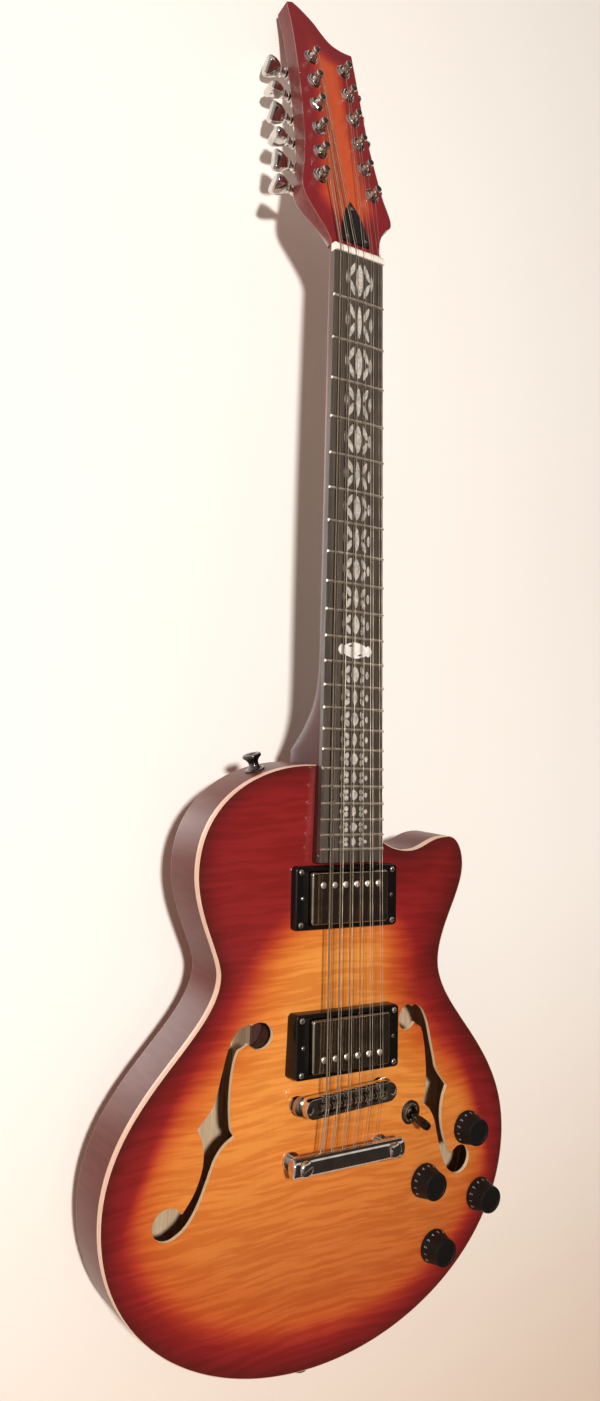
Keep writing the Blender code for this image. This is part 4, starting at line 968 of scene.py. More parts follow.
def face_in_neck(x, z):
    """Y of the top's face in the neck's frame, at a place of that frame."""
    y = 0.0
    for _ in range(4):
        height = z * math.cos(NECK_ANGLE) - y * math.sin(NECK_ANGLE)
        y = (face_y(x, height) - z * math.sin(NECK_ANGLE)) / math.cos(NECK_ANGLE)
    return y


def body_place(x, below):
    """A place in the body's plan, from millimetres beside the centre and below the shoulder."""
    return x * MM, SHOULDER_Z - below * MM


def hole_outlines(side):
    """The stem of a sound hole with its notches, and its two eyes."""
    stem = smooth_line(HOLE_INNER_EDGE, (6,), 5) + smooth_line(HOLE_OUTER_EDGE, (7,), 5)
    loops = [[body_place(side * x, below) for x, below in stem]]
    for x, below, radius in (UPPER_EYE, LOWER_EYE):
        loops.append(round_outline(radius * MM, 40, body_place(side * x, below)))
    return loops


def inside(points, outline):
    """Which points lie inside a closed outline."""
    x, z = points[:, 0], points[:, 1]
    held = np.zeros(len(points), bool)
    for (ax, az), (bx, bz) in zip(outline, outline[1:] + outline[:1]):
        if az != bz:
            crosses = ((az > z) != (bz > z)) & (x < (bx - ax) * (z - az) / (bz - az) + ax)
            held ^= crosses
    return held


def distance_to(points, run):
    """Shortest distance from each point to an open run of points."""
    best = np.full(len(points), np.inf)
    for first, second in zip(run, run[1:]):
        a, along = np.array(first), np.array(second) - np.array(first)
        share = np.clip(((points - a) @ along) / max(along @ along, 1e-18), 0, 1)
        best = np.minimum(best, np.hypot(*(points - a - share[:, None] * along).T))
    return best


def sheet_mesh(name, outline, holes, spacing, front, back, attributes, hole_finish=0,
               ridges=()):
    """A thin shell over a flat plan with holes, whose front and back heights follow a rule."""
    loops = [outline] + holes + list(ridges)
    flat = np.array(outline)
    low, high = flat.min(0), flat.max(0)
    grid = []
    for row, z in enumerate(np.arange(low[1], high[1], spacing * 0.866)):
        start = low[0] + (spacing / 2 if row % 2 else 0.0)
        grid += [(x, z) for x in np.arange(start, high[0], spacing)]
    grid = np.array(grid)
    keep = inside(grid, outline)
    for loop in loops:
        keep &= distance_to(grid, loop + loop[:1]) > spacing * 0.5
    grid = grid[keep]
    points, edges = [], []
    for loop in loops:
        start, count = len(points), len(loop)
        edges += [(start + index, start + (index + 1) % count) for index in range(count)]
        points += loop
    points = [Vector((x * 1000, z * 1000)) for x, z in [*points, *grid]]
    found = geometry.delaunay_2d_cdt(points, edges, [], 0, 1e-5)
    flat = np.array([(point.x, point.y) for point in found[0]]) / 1000
    faces = np.array(found[2])
    middles = flat[faces].mean(1)
    keep = inside(middles, outline)
    for loop in holes:
        keep &= ~inside(middles, loop)
    faces = faces[keep]
    corners = flat[faces]
    area = np.cross(corners[:, 1] - corners[:, 0], corners[:, 2] - corners[:, 0])
    faces[area < 0] = faces[area < 0][:, ::-1]
    faces = faces[np.abs(area) > 1e-14]
    used, faces = np.unique(faces, return_inverse=True)
    faces = faces.reshape(-1, 3)
    flat = flat[used]
    count = len(flat)
    sides = dict.fromkeys((a, b) for corners in faces.tolist()
                          for a, b in zip(corners, corners[1:] + corners[:1]))
    walls = [(a, b) for a, b in sides if (b, a) not in sides]
    places = np.concatenate([np.column_stack([flat[:, 0], level(flat), flat[:, 1]])
                             for level in (front, back)])
    mesh = bpy.data.meshes.new(name)
    skin = faces.tolist() + (faces[:, ::-1] + count).tolist()
    skin += [(b, a, a + count, b + count) for a, b in walls]
    mesh.from_pydata(places.tolist(), [], skin)
    finishes = np.zeros(len(skin), int)
    finishes[2 * len(faces):] = hole_finish
    mesh.polygons.foreach_set("material_index", finishes)
    for label, rule in attributes.items():
        levels = rule(flat)
        layer = mesh.attributes.new(label, "FLOAT", "POINT")
        layer.data.foreach_set("value", np.concatenate([levels, levels]).astype(np.float32))
    return tidy(mesh, 32)


def pickup_opening(centre=(0.0, 0.0), steps=5):
    """The opening that the top and the body leave round a pickup's cover."""
    return box_outline(COVER_SIZE[0] + 4 * MM, COVER_SIZE[1] + 3 * MM, 2.5 * MM, steps, centre)


def slot_half(z):
    """Half the width of the neck's pocket at a height of the body's plan."""
    return board_half_width(-z / math.cos(NECK_ANGLE)) + GAP


def clip_at_pocket(run):
    """Drop the end of a run that would stand inside the neck's pocket."""
    run = list(run)
    while abs(run[-1].x) < slot_half(run[-1].y) + 0.05 * MM:
        run.pop()
    return run


def make_top():
    run = clip_at_pocket(inset(BODY_EDGE, BINDING_WIDTH + 0.03 * MM))
    foot = -(BOARD_LENGTH + GAP) * math.cos(NECK_ANGLE)
    half = slot_half(foot)
    outline = [tuple(p) for p in run]
    outline += [(slot_half(run[-1].y), run[-1].y), (half, foot), (-half, foot),
                (-slot_half(run[0].y), run[0].y)]
    if abs(outline[-1][0] - outline[0][0]) < 0.2 * MM:
        outline.pop()
    holes = hole_outlines(-1) + hole_outlines(1)
    holes += [pickup_opening((0, -at * MM * math.cos(NECK_ANGLE)), 3)
              for at, *_ in PICKUPS.values()]
    holes += [round_outline(KNOB_HOLE, 20, body_place(*spot)) for spot in KNOB_PLACES.values()]
    holes.append(round_outline(SWITCH_HOLE, 24, body_place(*SWITCH_PLACE)))
    edge = [tuple(p) for p in BODY_EDGE]

    def front(flat):
        return RIM_Y - rise(flat[:, 0], flat[:, 1])

    def burst(flat):
        """0 at the stained edge and 1 in the amber middle, counted in millimetres.

        The stain reaches further in round the tail and on the treble shoulder, less far down
        the treble side, and ends in an arch under the neck.
        """
        below = (SHOULDER_Z - flat[:, 1]) * 1000
        low = np.clip((below - 300) / 140, 0, 1)
        right = np.clip((below - 230) / 70, 0, 1) * np.clip(flat[:, 0] / 0.1, 0, 1)
        side = distance_to(flat, edge) * 1000
        side = side * (1 - 0.3 * low * low * (3 - 2 * low)) * (1 + 0.35 * right)
        shoulder = np.clip((270 - below) / 110, 0, 1) * np.clip(flat[:, 0] / 0.05, 0, 1)
        side = side * (1 - 0.42 * shoulder)
        arch = below - 75 - 0.0083 * (flat[:, 0] * 1000) ** 2
        arch = 11 + 5 * np.logaddexp(0, (arch - 11) / 5)
        nearer = -BURST_BLEND * np.logaddexp(-side / BURST_BLEND, -arch / BURST_BLEND)
        return np.clip(nearer / BURST_WIDTH, 0, 1)

    mesh = sheet_mesh("arched_top", outline, holes, 3.0 * MM, front,
                      lambda flat: front(flat) + SOUNDBOARD, {"burst": burst}, 1)
    place("arched_top", mesh, ["top", "ply"], ["top_plate"])

    outer = clip_at_pocket(BODY_EDGE)
    low = RIM_Y + TOP_THICKNESS
    rows = []
    for o, i in zip(outer, inset(BODY_EDGE, BINDING_WIDTH)):
        mid = o.lerp(i, 0.3)
        rows.append([(p.x, y, p.y) for p, y in ((o, low), (o, RIM_Y + 0.4 * MM),
                                                (mid, RIM_Y + 0.12 * MM), (i, RIM_Y), (i, low))])
    piece("cream_binding_strip", Shell().loft(rows), ["binding"], ["top_binding"])


def make_back():
    centre = Vector((0.0, SHOULDER_Z - ARCH_CENTRE))
    seam = RIM_Y + TOP_THICKNESS + 0.03 * MM
    back = RIM_Y + BODY_DEPTH
    levels = [([centre + (p - centre) * share for p in BODY_PLAN],
               lambda x, z: seam - float(rise(x, z))) for share in (0.15, 0.4, 0.65, 0.85, 0.95)]
    levels.append((BODY_PLAN, seam))
    for angle in quarter(6):
        drawn = inset(BODY_EDGE, BACK_EDGE * (1 - math.cos(angle)))
        levels.append((drawn + [Vector((HEEL_HALF, SHOULDER_Z))],
                       back - BACK_EDGE * (1 - math.sin(angle))))
    mesh = Shell().stack(levels).mesh("back_and_sides")
    mesh.materials.append(FINISH["sides"])

    cuts = []
    for side in (-1, 1):
        kept = [tuple(p) for p in inset(BODY_EDGE, RIM_WALL)
                if p.x * side > CENTRE_BLOCK_HALF + RIM_WALL
                and CHAMBER_ENDS[0] < p.y < CHAMBER_ENDS[1]]
        block = side * CENTRE_BLOCK_HALF
        chamber = [(block, kept[0][1]), *kept, (block, kept[-1][1])]
        cuts.append(Shell(lining="inside").plate(chamber, RIM_Y - 0.05, back - CHAMBER_FLOOR))
        x, z = body_place(side * UPPER_EYE[0], UPPER_EYE[1])
        cuts.append(Shell(shift(x, 0, z), "inside").turn(
            [(EYE_WELL[0], -0.05), (EYE_WELL[0], seam + EYE_WELL[1])], 32))
    ends = (HEEL_START, BOARD_LENGTH + GAP)
    top_half, foot_half = (board_half_width(distance) + GAP for distance in ends)
    pocket = [(top_half, -ends[0]), (-top_half, -ends[0]),
              (-foot_half, -ends[1]), (foot_half, -ends[1])]
    cuts.append(Shell(NECK, "inside").plate(pocket, -0.1, TENON_DEPTH + GAP))
    for at, _, face, _ in PICKUPS.values():
        cuts.append(Shell(NECK @ shift(0, 0, -at * MM), "inside").plate(
            pickup_opening(), -0.1, face * MM + PICKUP_WELL))
    cuts.append(Shell(JACK @ spin(math.pi / 2, "Z"), "inside").turn(
        [(JACK_BORE, -0.03), (JACK_BORE, 0.03)], 28))
    mesh = carved(mesh, cuts)
    names = {"side_lacquer": "sides", "chamber_wood": "inside"}
    place("back_and_sides", mesh, [names[finish.name] for finish in mesh.materials],
          ["body_back"])


# ---- neck, board and head

def neck_ring(distance, half, depth, power, steps=14):
    """A half oval under the board; a higher power is squarer."""
    ring = []
    for step in range(2 * steps + 1):
        angle = math.pi * step / (2 * steps)
        x = math.copysign(abs(math.cos(angle)) ** (2 / power), math.cos(angle)) * half
        ring.append((x, BOARD_THICKNESS + 0.05 * MM + depth * math.sin(angle) ** (2 / power),
                     -distance))
    return ring


def head_outline():
    bass = smooth_line([(-x * MM, along * MM) for x, along in HEAD_BASS_EDGE], (0,), 5)
    treble = smooth_line([(x * MM, along * MM) for x, along in HEAD_TREBLE_EDGE], (0, 11), 5)
    return bass, treble


def tuner_places(side):
    return [(side * offset * MM, TUNER_FIRST + TUNER_PITCH * index)
            for index, offset in enumerate(TUNER_OFFSETS)]


def make_neck():
    back = RIM_Y + BODY_DEPTH
    full = ((back - SHOULDER_Z * math.tan(NECK_ANGLE) * math.cos(NECK_ANGLE))
            / math.cos(NECK_ANGLE) - BOARD_THICKNESS - 3 * GAP)
    rings = []
    for distance in [-10 * MM] + [HEEL_START * part / 8 for part in range(9)]:
        share = max(distance, 0) / HEEL_START
        depth = SHAFT_DEPTH[0] + (SHAFT_DEPTH[1] - SHAFT_DEPTH[0]) * share
        rings.append(neck_ring(distance, board_half_width(max(distance, 0)), depth,
                               SHAFT_ROUNDNESS))
    for part in range(1, 15):
        share = part / 14
        distance = HEEL_START + (HEEL_FULL - HEEL_START) * share
        depth = SHAFT_DEPTH[1] + (full - SHAFT_DEPTH[1]) * share ** HEEL_SWEEP
        rings.append(neck_ring(distance, board_half_width(distance), depth,
                               SHAFT_ROUNDNESS + HEEL_SQUARENESS * share ** 4))
    rings.append(neck_ring(BOARD_LENGTH, board_half_width(BOARD_LENGTH), full,
                           SHAFT_ROUNDNESS + HEEL_SQUARENESS))
    shaft = Shell(NECK).loft(rings).mesh("neck_and_heel")
    bass, treble = head_outline()
    outline = bass + treble[::-1]
    edge = outline + outline[:1]
    holes, face_holes = ([round_outline(radius, 24, at)
                          for at in tuner_places(-1) + tuner_places(1)] for radius in POST_HOLES)

    def back_of_head(flat):
        """Full depth beside the tuners, and rounded like the shaft where the neck runs in."""
        along = flat[:, 1]
        bass_half = np.interp(along, [z for _, z in bass], [-x for x, _ in bass])
        treble_half = np.interp(along, [z for _, z in treble], [x for x, _ in treble])
        half = np.where(flat[:, 0] < 0, bass_half, treble_half)
        share = np.clip(np.abs(flat[:, 0]) / half, 0, 1)
        wall = np.clip((along - HEAD_WALL_AT[0]) / HEAD_WALL_AT[1], 0, 1)
        wall = HEAD_WALL + (HEAD_THICKNESS - HEAD_WALL) * wall
        depth = wall + (HEAD_THICKNESS - wall) * np.sqrt(1 - share ** 2)
        soft = np.clip(1 - distance_to(flat, edge) / HEAD_EDGE, 0, 1)
        return depth - HEAD_EDGE * (1 - np.sqrt(1 - soft ** 2))

    head = sheet_mesh("head_blank", outline, holes, 3.0 * MM,
                      lambda flat: np.full(len(flat), HEAD_VENEER), back_of_head, {},
                      ridges=[shrunk(outline, inner * MM) for inner in (0.25, 0.7, 1.4)])
    head.transform(HEAD)
    tilt = math.tan(NECK_ANGLE)
    shoulder = (SHOULDER_Z + 0.05 * MM) / math.cos(NECK_ANGLE)
    section = [(TENON_DEPTH, shoulder + TENON_DEPTH * tilt), (0.1, shoulder + 0.1 * tilt),
               (0.1, -0.6), (TENON_DEPTH, -0.6)]
    trim = Shell(NECK).loft([[(x, y, z) for y, z in section] for x in (-0.1, 0.1)])
    place("neck_and_heel", carved(shaft, [trim], [head]), ["neck"], ["neck"])

    def burst(flat):
        side = distance_to(flat, edge) * 1000
        waist = np.clip((flat[:, 1] * 1000 - 14) / 30, 0, 1)
        tip = np.clip((222 - flat[:, 1] * 1000) / 34, 0, 1)
        return np.clip((side - 10) / 16, 0, 1) * waist * tip

    mesh = sheet_mesh("headstock_face", outline, face_holes, 3.0 * MM,
                      lambda flat: np.zeros(len(flat)),
                      lambda flat: np.full(len(flat), HEAD_VENEER), {"burst": burst})
    mesh.transform(HEAD)
    place("headstock_face", mesh, ["head"], ["neck"])

    half, foot, tall = TRUSS_COVER
    side = smooth_line([(half * wide, foot + tall * high) for wide, high in (
        (1, 0), (0.97, 0.25), (0.74, 0.52), (0.42, 0.78), (0, 1))], (0,), 6)
    cover = side + [(-x, z) for x, z in side[-2::-1]]
    piece("truss_cover_plate", Shell(HEAD).plate(cover, -2.3 * MM, -0.02 * MM, 0.7 * MM, 0.0),
          ["satin"], ["truss_rod_cover"])


def make_board():
    rings = []
    for distance in np.linspace(0, BOARD_LENGTH, 24):
        half = board_half_width(distance)
        ring = [(share * half, BOARD_CROWN * share ** 2 + (0.5 * MM if abs(share) == 1 else 0.0),
                 -distance)
                for share in [-1.0, -0.985, *(part / 6 for part in range(-5, 6)), 0.985, 1.0]]
        rings.append(ring + [(half, BOARD_THICKNESS, -distance),
                             (-half, BOARD_THICKNESS, -distance)])
    piece("fretboard_wood", Shell(NECK).loft(rings), ["board"], ["fretboard"])

    mesh = FRETS.grow(bpy.data.meshes.new("start"), fret_count=FRET_COUNT,
                      scale_length=SCALE_LENGTH, nut_width=NUT_WIDTH - 0.4 * MM,
                      widening=(LAST_FRET_WIDTH - NUT_WIDTH) / fret_distance(FRET_COUNT),
                      crown=BOARD_CROWN, bead_width=FRET_BEAD[0], bead_height=FRET_BEAD[1],
                      finish=FINISH["fret"])
    mesh.transform(NECK)
    place("frets", tidy(mesh, 50), ["fret"], ["fretboard"])

    end = Shell().loft([[(x, y * MM, z * MM) for y, z in (
        (-0.75, 0), (-0.1, 1.15), (2.0, 0.35), (2.0, -0.35), (-0.1, -1.15))]
        for x in (-0.2 * MM, 0.16 * MM)])
    places = [NECK @ shift(side * board_half_width(away), BOARD_CROWN, -away)
              @ spin(0 if side > 0 else math.pi, "Z") @ Matrix.Scale(side, 4, (0, 1, 0))
              for away in map(fret_distance, range(1, FRET_COUNT + 1)) for side in (-1, 1)]
    set_out("fret_ends", end, places, "fret")
    make_inlay()

    half, low, high = NUT_WIDTH / 2, 0.05 * MM, NUT_LENGTH + 0.3 * MM
    slots = sorted(string_offset(number, NUT_SPREAD) for number in range(12))
    xs = [-half, -half + 0.6 * MM]
    for index, x in enumerate(slots):
        deep = STRING_RADII[index] * MM
        xs += [x - deep - 0.25 * MM, x - deep * 0.6, x + deep * 0.6, x + deep + 0.25 * MM]
    xs += [half - 0.6 * MM, half]
    rings = []
    for x in xs:
        notch = 0.6 * MM if min(abs(x - at) for at in slots) < 0.4 * MM else 0.0
        edge = 0.5 * MM if abs(abs(x) - half) < 1e-6 else 0.0
        top = NUT_TOP + notch + edge
        rings.append([(x, BOARD_THICKNESS, low), (x, top + 0.5 * MM, low),
                      (x, top, low + 0.6 * MM), (x, top, low + 2.6 * MM),
                      (x, top + 1.0 * MM, high - 1.2 * MM), (x, top + 2.3 * MM, high),
                      (x, BOARD_THICKNESS, high)])
    piece("bone_nut", Shell(NECK).loft(rings), ["bone"], ["nut"], smooth=24)


def lozenge(shell, centre, length, width, turn, lift=0.07 * MM, finish=0):
    """A thin pointed plate that follows the board's crown; x and distance from the nut."""
    cx, cd = centre
    points = []
    for part in range(16):
        angle = 2 * math.pi * part / 16
        a, b = math.cos(angle), math.sin(angle)
        along = math.copysign(abs(a) ** 1.25, a) * length / 2
        across = math.copysign(abs(b) ** 1.25, b) * width / 2
        points.append((cx + across * math.cos(turn) - along * math.sin(turn),
                       cd + across * math.sin(turn) + along * math.cos(turn)))
    shell.loft([[(x, BOARD_CROWN * (x / board_half_width(distance)) ** 2 - height, -distance)
                 for x, distance in points] for height in (-0.3 * MM, lift)], finish=finish)


def make_inlay():
    """Lozenges and slim petals down the board, and a broad plate at the octave."""
    shell = Shell(NECK)
    for number in range(1, FRET_COUNT + 1):
        low, high = fret_distance(number - 1), fret_distance(number)
        if number == 1:
            low += 2 * MM
        middle, room = (low + high) / 2, high - low - 3.4 * MM
        if number == 12:
            lozenge(shell, (0, middle), room * 0.8, 27 * MM, 0.0, finish=1)
            for side in (-1, 1):
                lozenge(shell, (side * 12 * MM, middle), room * 0.55, 7 * MM, 0.0,
                        lift=0.09 * MM, finish=1)
            continue
        wide = 7.0 * MM if number % 2 else 4.6 * MM
        lozenge(shell, (0, middle), room * 0.86, wide, 0.0)
        lean = math.radians(24 if number % 2 else -24)
        for side in (-1, 1):
            for end in (-1, 1):
                lozenge(shell, (side * 6.6 * MM, middle + end * room * 0.24), room * 0.46,
                        3.8 * MM, side * end * lean)
            lozenge(shell, (side * 11.2 * MM, middle), room * 0.42, 3.0 * MM, 0.0)
    piece("board_inlay", shell, ["pearl", "white_pearl"])


# ---- tuners

def make_tuners():
    back = HEAD_THICKNESS + 0.05 * MM
    for side, word in SIDES:
        places = tuner_places(side)
        first = (places[0][0], places[0][1] - STRIP_PAST)
        last = (places[-1][0], places[-1][1] + STRIP_PAST)
        middle = [first] + places[1:-1] + [last]
        outline = [(x - STRIP_HALF, z) for x, z in middle]
        outline += [(x + STRIP_HALF, z) for x, z in reversed(middle)]
        strip = Shell(HEAD).plate(outline, back, back + 1.2 * MM, 0.3 * MM)
        for x, z in places:
            strip.stack([(box_outline(*((size - 2 * shrink) * MM for size in HOUSING_SIZE),
                                      max(3.4 - shrink * 0.3, 0.8) * MM, 5,
                                      (x + side * 1.5 * MM, z)), back + level * MM)
                         for level, shrink in ((0.6, 0.0), (7.4, 0.0), (9.4, 0.5), (10.6, 1.4),
                                               (11.3, 2.8), (11.5, 4.4))])
            cuff = (shift(x + side * 8.2 * MM, TUNER_AXIS_DEPTH, z)
                    @ spin(-side * math.pi / 2, "Z"))
            strip.turn(mm([(4.4, -0.6), (4.4, 1.3), (3.9, 1.8), (2.3, 1.8), (2.3, -0.6)]),
                       28, cuff, caps=False)
        piece(f"tuner_housings_{word}", strip, ["chrome"], [f"tuner_strip_{word}"],
              smooth=38)

    bush = Shell().nut([(5.6, -0.5), (5.6, -2.0), (5.0, -2.5)], 3.35)
    bush.turn(mm([(6.4, -0.02), (6.4, -0.35), (6.0, -0.6), (3.35, -0.6), (3.35, 12), (4.1, 12),
                  (4.1, -0.02)]), 32, caps=False)
    places = [HEAD @ shift(x, 0, z) @ spin(0.2 * index, "Y")
              for index, (x, z) in enumerate(tuner_places(-1) + tuner_places(1))]
    set_out("tuner_bush_nuts", bush, places, "chrome",
            stands_for=["tuner_strip_bass", "tuner_strip_treble"], smooth=25)

    for side, word in SIDES:
        for index, (x, z) in enumerate(tuner_places(side)):
            make_post(index, word, HEAD @ shift(x, 0, z))
            at = (HEAD @ shift(x, TUNER_AXIS_DEPTH, z)
                  @ spin(math.radians(KEY_TURNS[side][index]), "X"))
            make_key(index, side, word, at)


def make_post(index, word, at):
    name = f"tuner_post_{word}_{index + 1}"
    profile = [(3.0, 17.7), (3.0, -2.9), (2.75, -3.6), (2.3, -4.6), (2.25, -6.0), (2.4, -7.0),
               (2.9, -7.9), (3.0, -8.4), (3.0, -9.5), (2.7, -9.9), (2.1, -10.05), (0.0, -9.9)]
    piece(f"string_post_{word}_{index + 1}", Shell(at).turn(mm(profile), 28), ["chrome"],
          [name], name, 38)


def make_key(index, side, word, at):
    """A turned stem with its collar, and a faceted wing cut off square at the end."""
    name = f"tuner_key_{word}_{index + 1}"
    shell = Shell(at @ spin(-side * math.pi / 2, "Z"))
    profile = [(0, 1.8), (2.0, 1.8), (2.0, 10.4), (3.1, 10.6), (3.6, 11.2), (3.6, 12.0),
               (3.0, 12.5), (2.2, 12.9), (2.2, 13.6), (3.1, 14.0), (3.8, 14.8), (3.9, 16.6),
               (3.2, 17.6), (0, 17.6)]
    shell.turn(mm(profile), 24)
    wing = Shell(shell.at).loft([[(t * MM, along * MM, w * MM) for w, t in (
        (wide, edge), (wide * 0.66, thick), (-wide * 0.66, thick), (-wide, edge),
        (-wide, -edge), (-wide * 0.66, -thick), (wide * 0.66, -thick), (wide, -edge))]
        for along, wide, thick, edge in ((16.4, 2.9, 1.9, 0.6), (18.6, 5.6, 3.0, 0.9),
                                         (23.0, 7.7, 3.7, 1.3), (28.2, 8.5, 4.0, 1.4),
                                         (30.2, 7.4, 2.6, 0.8))])
    softened = shaped(tidy(wing.mesh("wing"), 30), [
        ("BEVEL", {"width": 0.45 * MM, "segments": 2, "limit_method": "ANGLE"})])
    mesh = joined(f"key_{word}", [shell.mesh("stem"), softened])
    place(f"machine_key_{word}_{index + 1}", tidy(mesh, 30), ["chrome"], [name], name)


# ---- strings

def string_offset(number, spread):
    course = number // 2
    pair = -0.5 if number % 2 == 0 else 0.5
    return spread * (course / 5 - 0.5) + pair * COURSE_GAP


def string_path(number):
    """Points of one string in the neck's frame: tailpiece, saddle, nut, and round its post."""
    radius = STRING_RADII[number] * MM
    side = -1 if number < 6 else 1
    turn = number if side < 0 else 11 - number
    post_x, post_z = tuner_places(side)[turn]
    at_bridge, at_nut = string_offset(number, BRIDGE_SPREAD), string_offset(number, NUT_SPREAD)
    saddle = -BRIDGE_AT + math.tan(BRIDGE_SLANT) * at_bridge
    top, over_nut = SADDLE_TOP - radius, -0.95 * MM - radius - 0.1 * MM
    tail = -TAIL_AT + 6.0 * MM
    reach = POST_RADIUS * 0.86 + radius
    start = math.pi if side > 0 else 0.0
    path = [Vector(point) for point in (
        (at_bridge, STRING_HOLES, tail),
        (at_bridge, top + 0.5 * MM, saddle - 2.2 * MM),
        (at_bridge, top, saddle - 0.6 * MM), (at_bridge, top, saddle + 0.6 * MM),
        (at_nut, over_nut, 0.1 * MM), (at_nut, over_nut, 2.4 * MM),
        (at_nut, over_nut + 0.7 * MM, 5.4 * MM))]
    wraps = 2.3 if radius > 0.35 * MM else 3.2
    count = int(wraps * 16)
    for step in range(count + 1):
        angle = start - side * 2 * math.pi * wraps * step / count
        height = -7.2 * MM + (2.1 * radius) * wraps * step / count
        slim = reach + (0.15 * MM if height > -4.6 * MM else 0.0)
        path.append(HEAD_IN_NECK @ Vector((post_x + slim * math.cos(angle), height,
                                           post_z + slim * math.sin(angle))))
    return path


def make_strings():
    for number in range(12):
        curve = bpy.data.curves.new("string", "CURVE")
        curve.dimensions = "3D"
        spline = curve.splines.new("POLY")
        path = string_path(number)
        spline.points.add(len(path) - 1)
        for point, at in zip(spline.points, path):
            point.co = (*(NECK @ at), 1.0)
        finish = "wound" if number in (0, 1, 2, 4, 6) else "plain"
        mesh = WIRE.grow(curve, radius=STRING_RADII[number] * MM, sides=10,
                         finish=FINISH[finish])
        place(f"string_wire_{number + 1:02d}", tidy(mesh, 60), [finish],
              [f"string_{number + 1:02d}"])


# ---- pickups, bridge, tailpiece

def screw_pattern(radius, dome, slots=1, width=0.5, depth=0.5):
    """A domed screw head with a slot or a cross cut into it, its top towards minus Y."""
    head = Shell().turn([(radius, 0.3 * MM)] + [(radius * r, -dome * h) for r, h in (
        (1, 0.25), (0.86, 0.62), (0.6, 0.88), (0.3, 0.98), (0, 1))], 20)
    bar = oblong(radius * (1.2 if slots == 1 else 0.62), width / 2 * MM)
    return carved(head.mesh("screw"), [
        Shell(spin(math.pi / slots * index, "Y")).plate(bar, -dome - 1 * MM, -dome + depth * MM)
        for index in range(slots)])


def make_pickups():
    corner_screws, side_screws, poles = [], [], []
    for name, (at, ring_face, cover_face, row) in PICKUPS.items():
        ring_face, cover_face, at = ring_face * MM, cover_face * MM, at * MM
        frame_at = NECK @ shift(0, 0, -at)
        outer = box_outline(*RING_SIZE, 7)
        window = box_outline(COVER_SIZE[0] + 1.0 * MM, COVER_SIZE[1] + 1.0 * MM, 2.4 * MM, 7)
        hollow = shrunk(window, -1.2 * MM)

        def seat(x, z):
            return face_in_neck(x, z - at) - 0.03 * MM

        def ceiling(x, z):
            return max(face_in_neck(x, z - at) + 2 * MM, ring_face + 2 * MM)

        levels = [(outer, seat)] + [
            (shrunk(outer, shrink * MM), ring_face + level * MM) for shrink, level in (
                (0.35, 1.3), (0.5, 0.8), (0.8, 0.3), (1.3, 0.03), (1.8, 0.0))]
        levels += [(shrunk(window, -0.5 * MM), ring_face), (window, ring_face + 0.4 * MM),
                   (window, ring_face + 12 * MM), (hollow, ring_face + 12 * MM),
                   (hollow, ceiling), (shrunk(window, -1.8 * MM), seat)]
        piece(f"mounting_ring_{name}", Shell(frame_at).stack(levels, False), ["black"],
              [f"{name}_pickup_ring"], smooth=40)

        cover = box_outline(*COVER_SIZE, 7)
        levels = [(shrunk(cover, 2.4 * MM), cover_face)]
        for angle in quarter(4):
            levels.append((shrunk(cover, 1.5 * MM * (1 - math.sin(angle))),
                           cover_face + 1.5 * MM * (1 - math.cos(angle))))
        levels.append((cover, cover_face + 15 * MM))
        piece(f"pickup_cover_{name}", Shell(frame_at).stack(levels), ["nickel"],
              [f"{name}_pickup"], smooth=40)

        for side in (-1, 1):
            x = side * RING_SCREWS[0]
            corner_screws += [frame_at @ shift(x * MM, ring_face, z * MM) @ spin(x + z, "Y")
                              for z in (-RING_SCREWS[1], RING_SCREWS[1])]
            side_screws.append(frame_at @ shift(side * HEIGHT_SCREWS * MM, ring_face, 0)
                               @ spin(0.7 * x, "Y"))
        poles += [frame_at @ shift((index - 2.5) * POLE_PITCH, cover_face, row * POLE_ROW)
                  @ spin(0.5 * index, "Y") for index in range(6)]
    set_out("ring_corner_screws", screw_pattern(2.1 * MM, 1.1 * MM, 2, 0.45, 0.5), corner_screws,
            "chrome")
    set_out("pickup_height_screws", screw_pattern(1.5 * MM, 0.9 * MM, 1, 0.4, 0.4), side_screws,
            "chrome")
    set_out("pole_screws", screw_pattern(2.4 * MM, 0.8 * MM, 1, 0.6, 0.5), poles, "fret",
            ["neck_pickup", "bridge_pickup"])
    set_out("truss_cover_screws", screw_pattern(1.5 * MM, 0.6 * MM, 2, 0.35, 0.3),
            [HEAD @ shift(*at) for at in mm([(-8.5, -2.3, 17.0), (8.5, -2.3, 17.0),
                                             (0.0, -2.3, 44.5)])], "chrome")


def knurled_wheel(name, at, radius, height, ridges, finish, stands_for):
    mesh = RIM.grow(bpy.data.meshes.new("start"), radius=radius, height=height, ridges=ridges,
                    finish=FINISH[finish])
    mesh.transform(at @ spin(math.pi / 2, "X"))
    place(name, tidy(mesh, 30), [finish], stands_for)


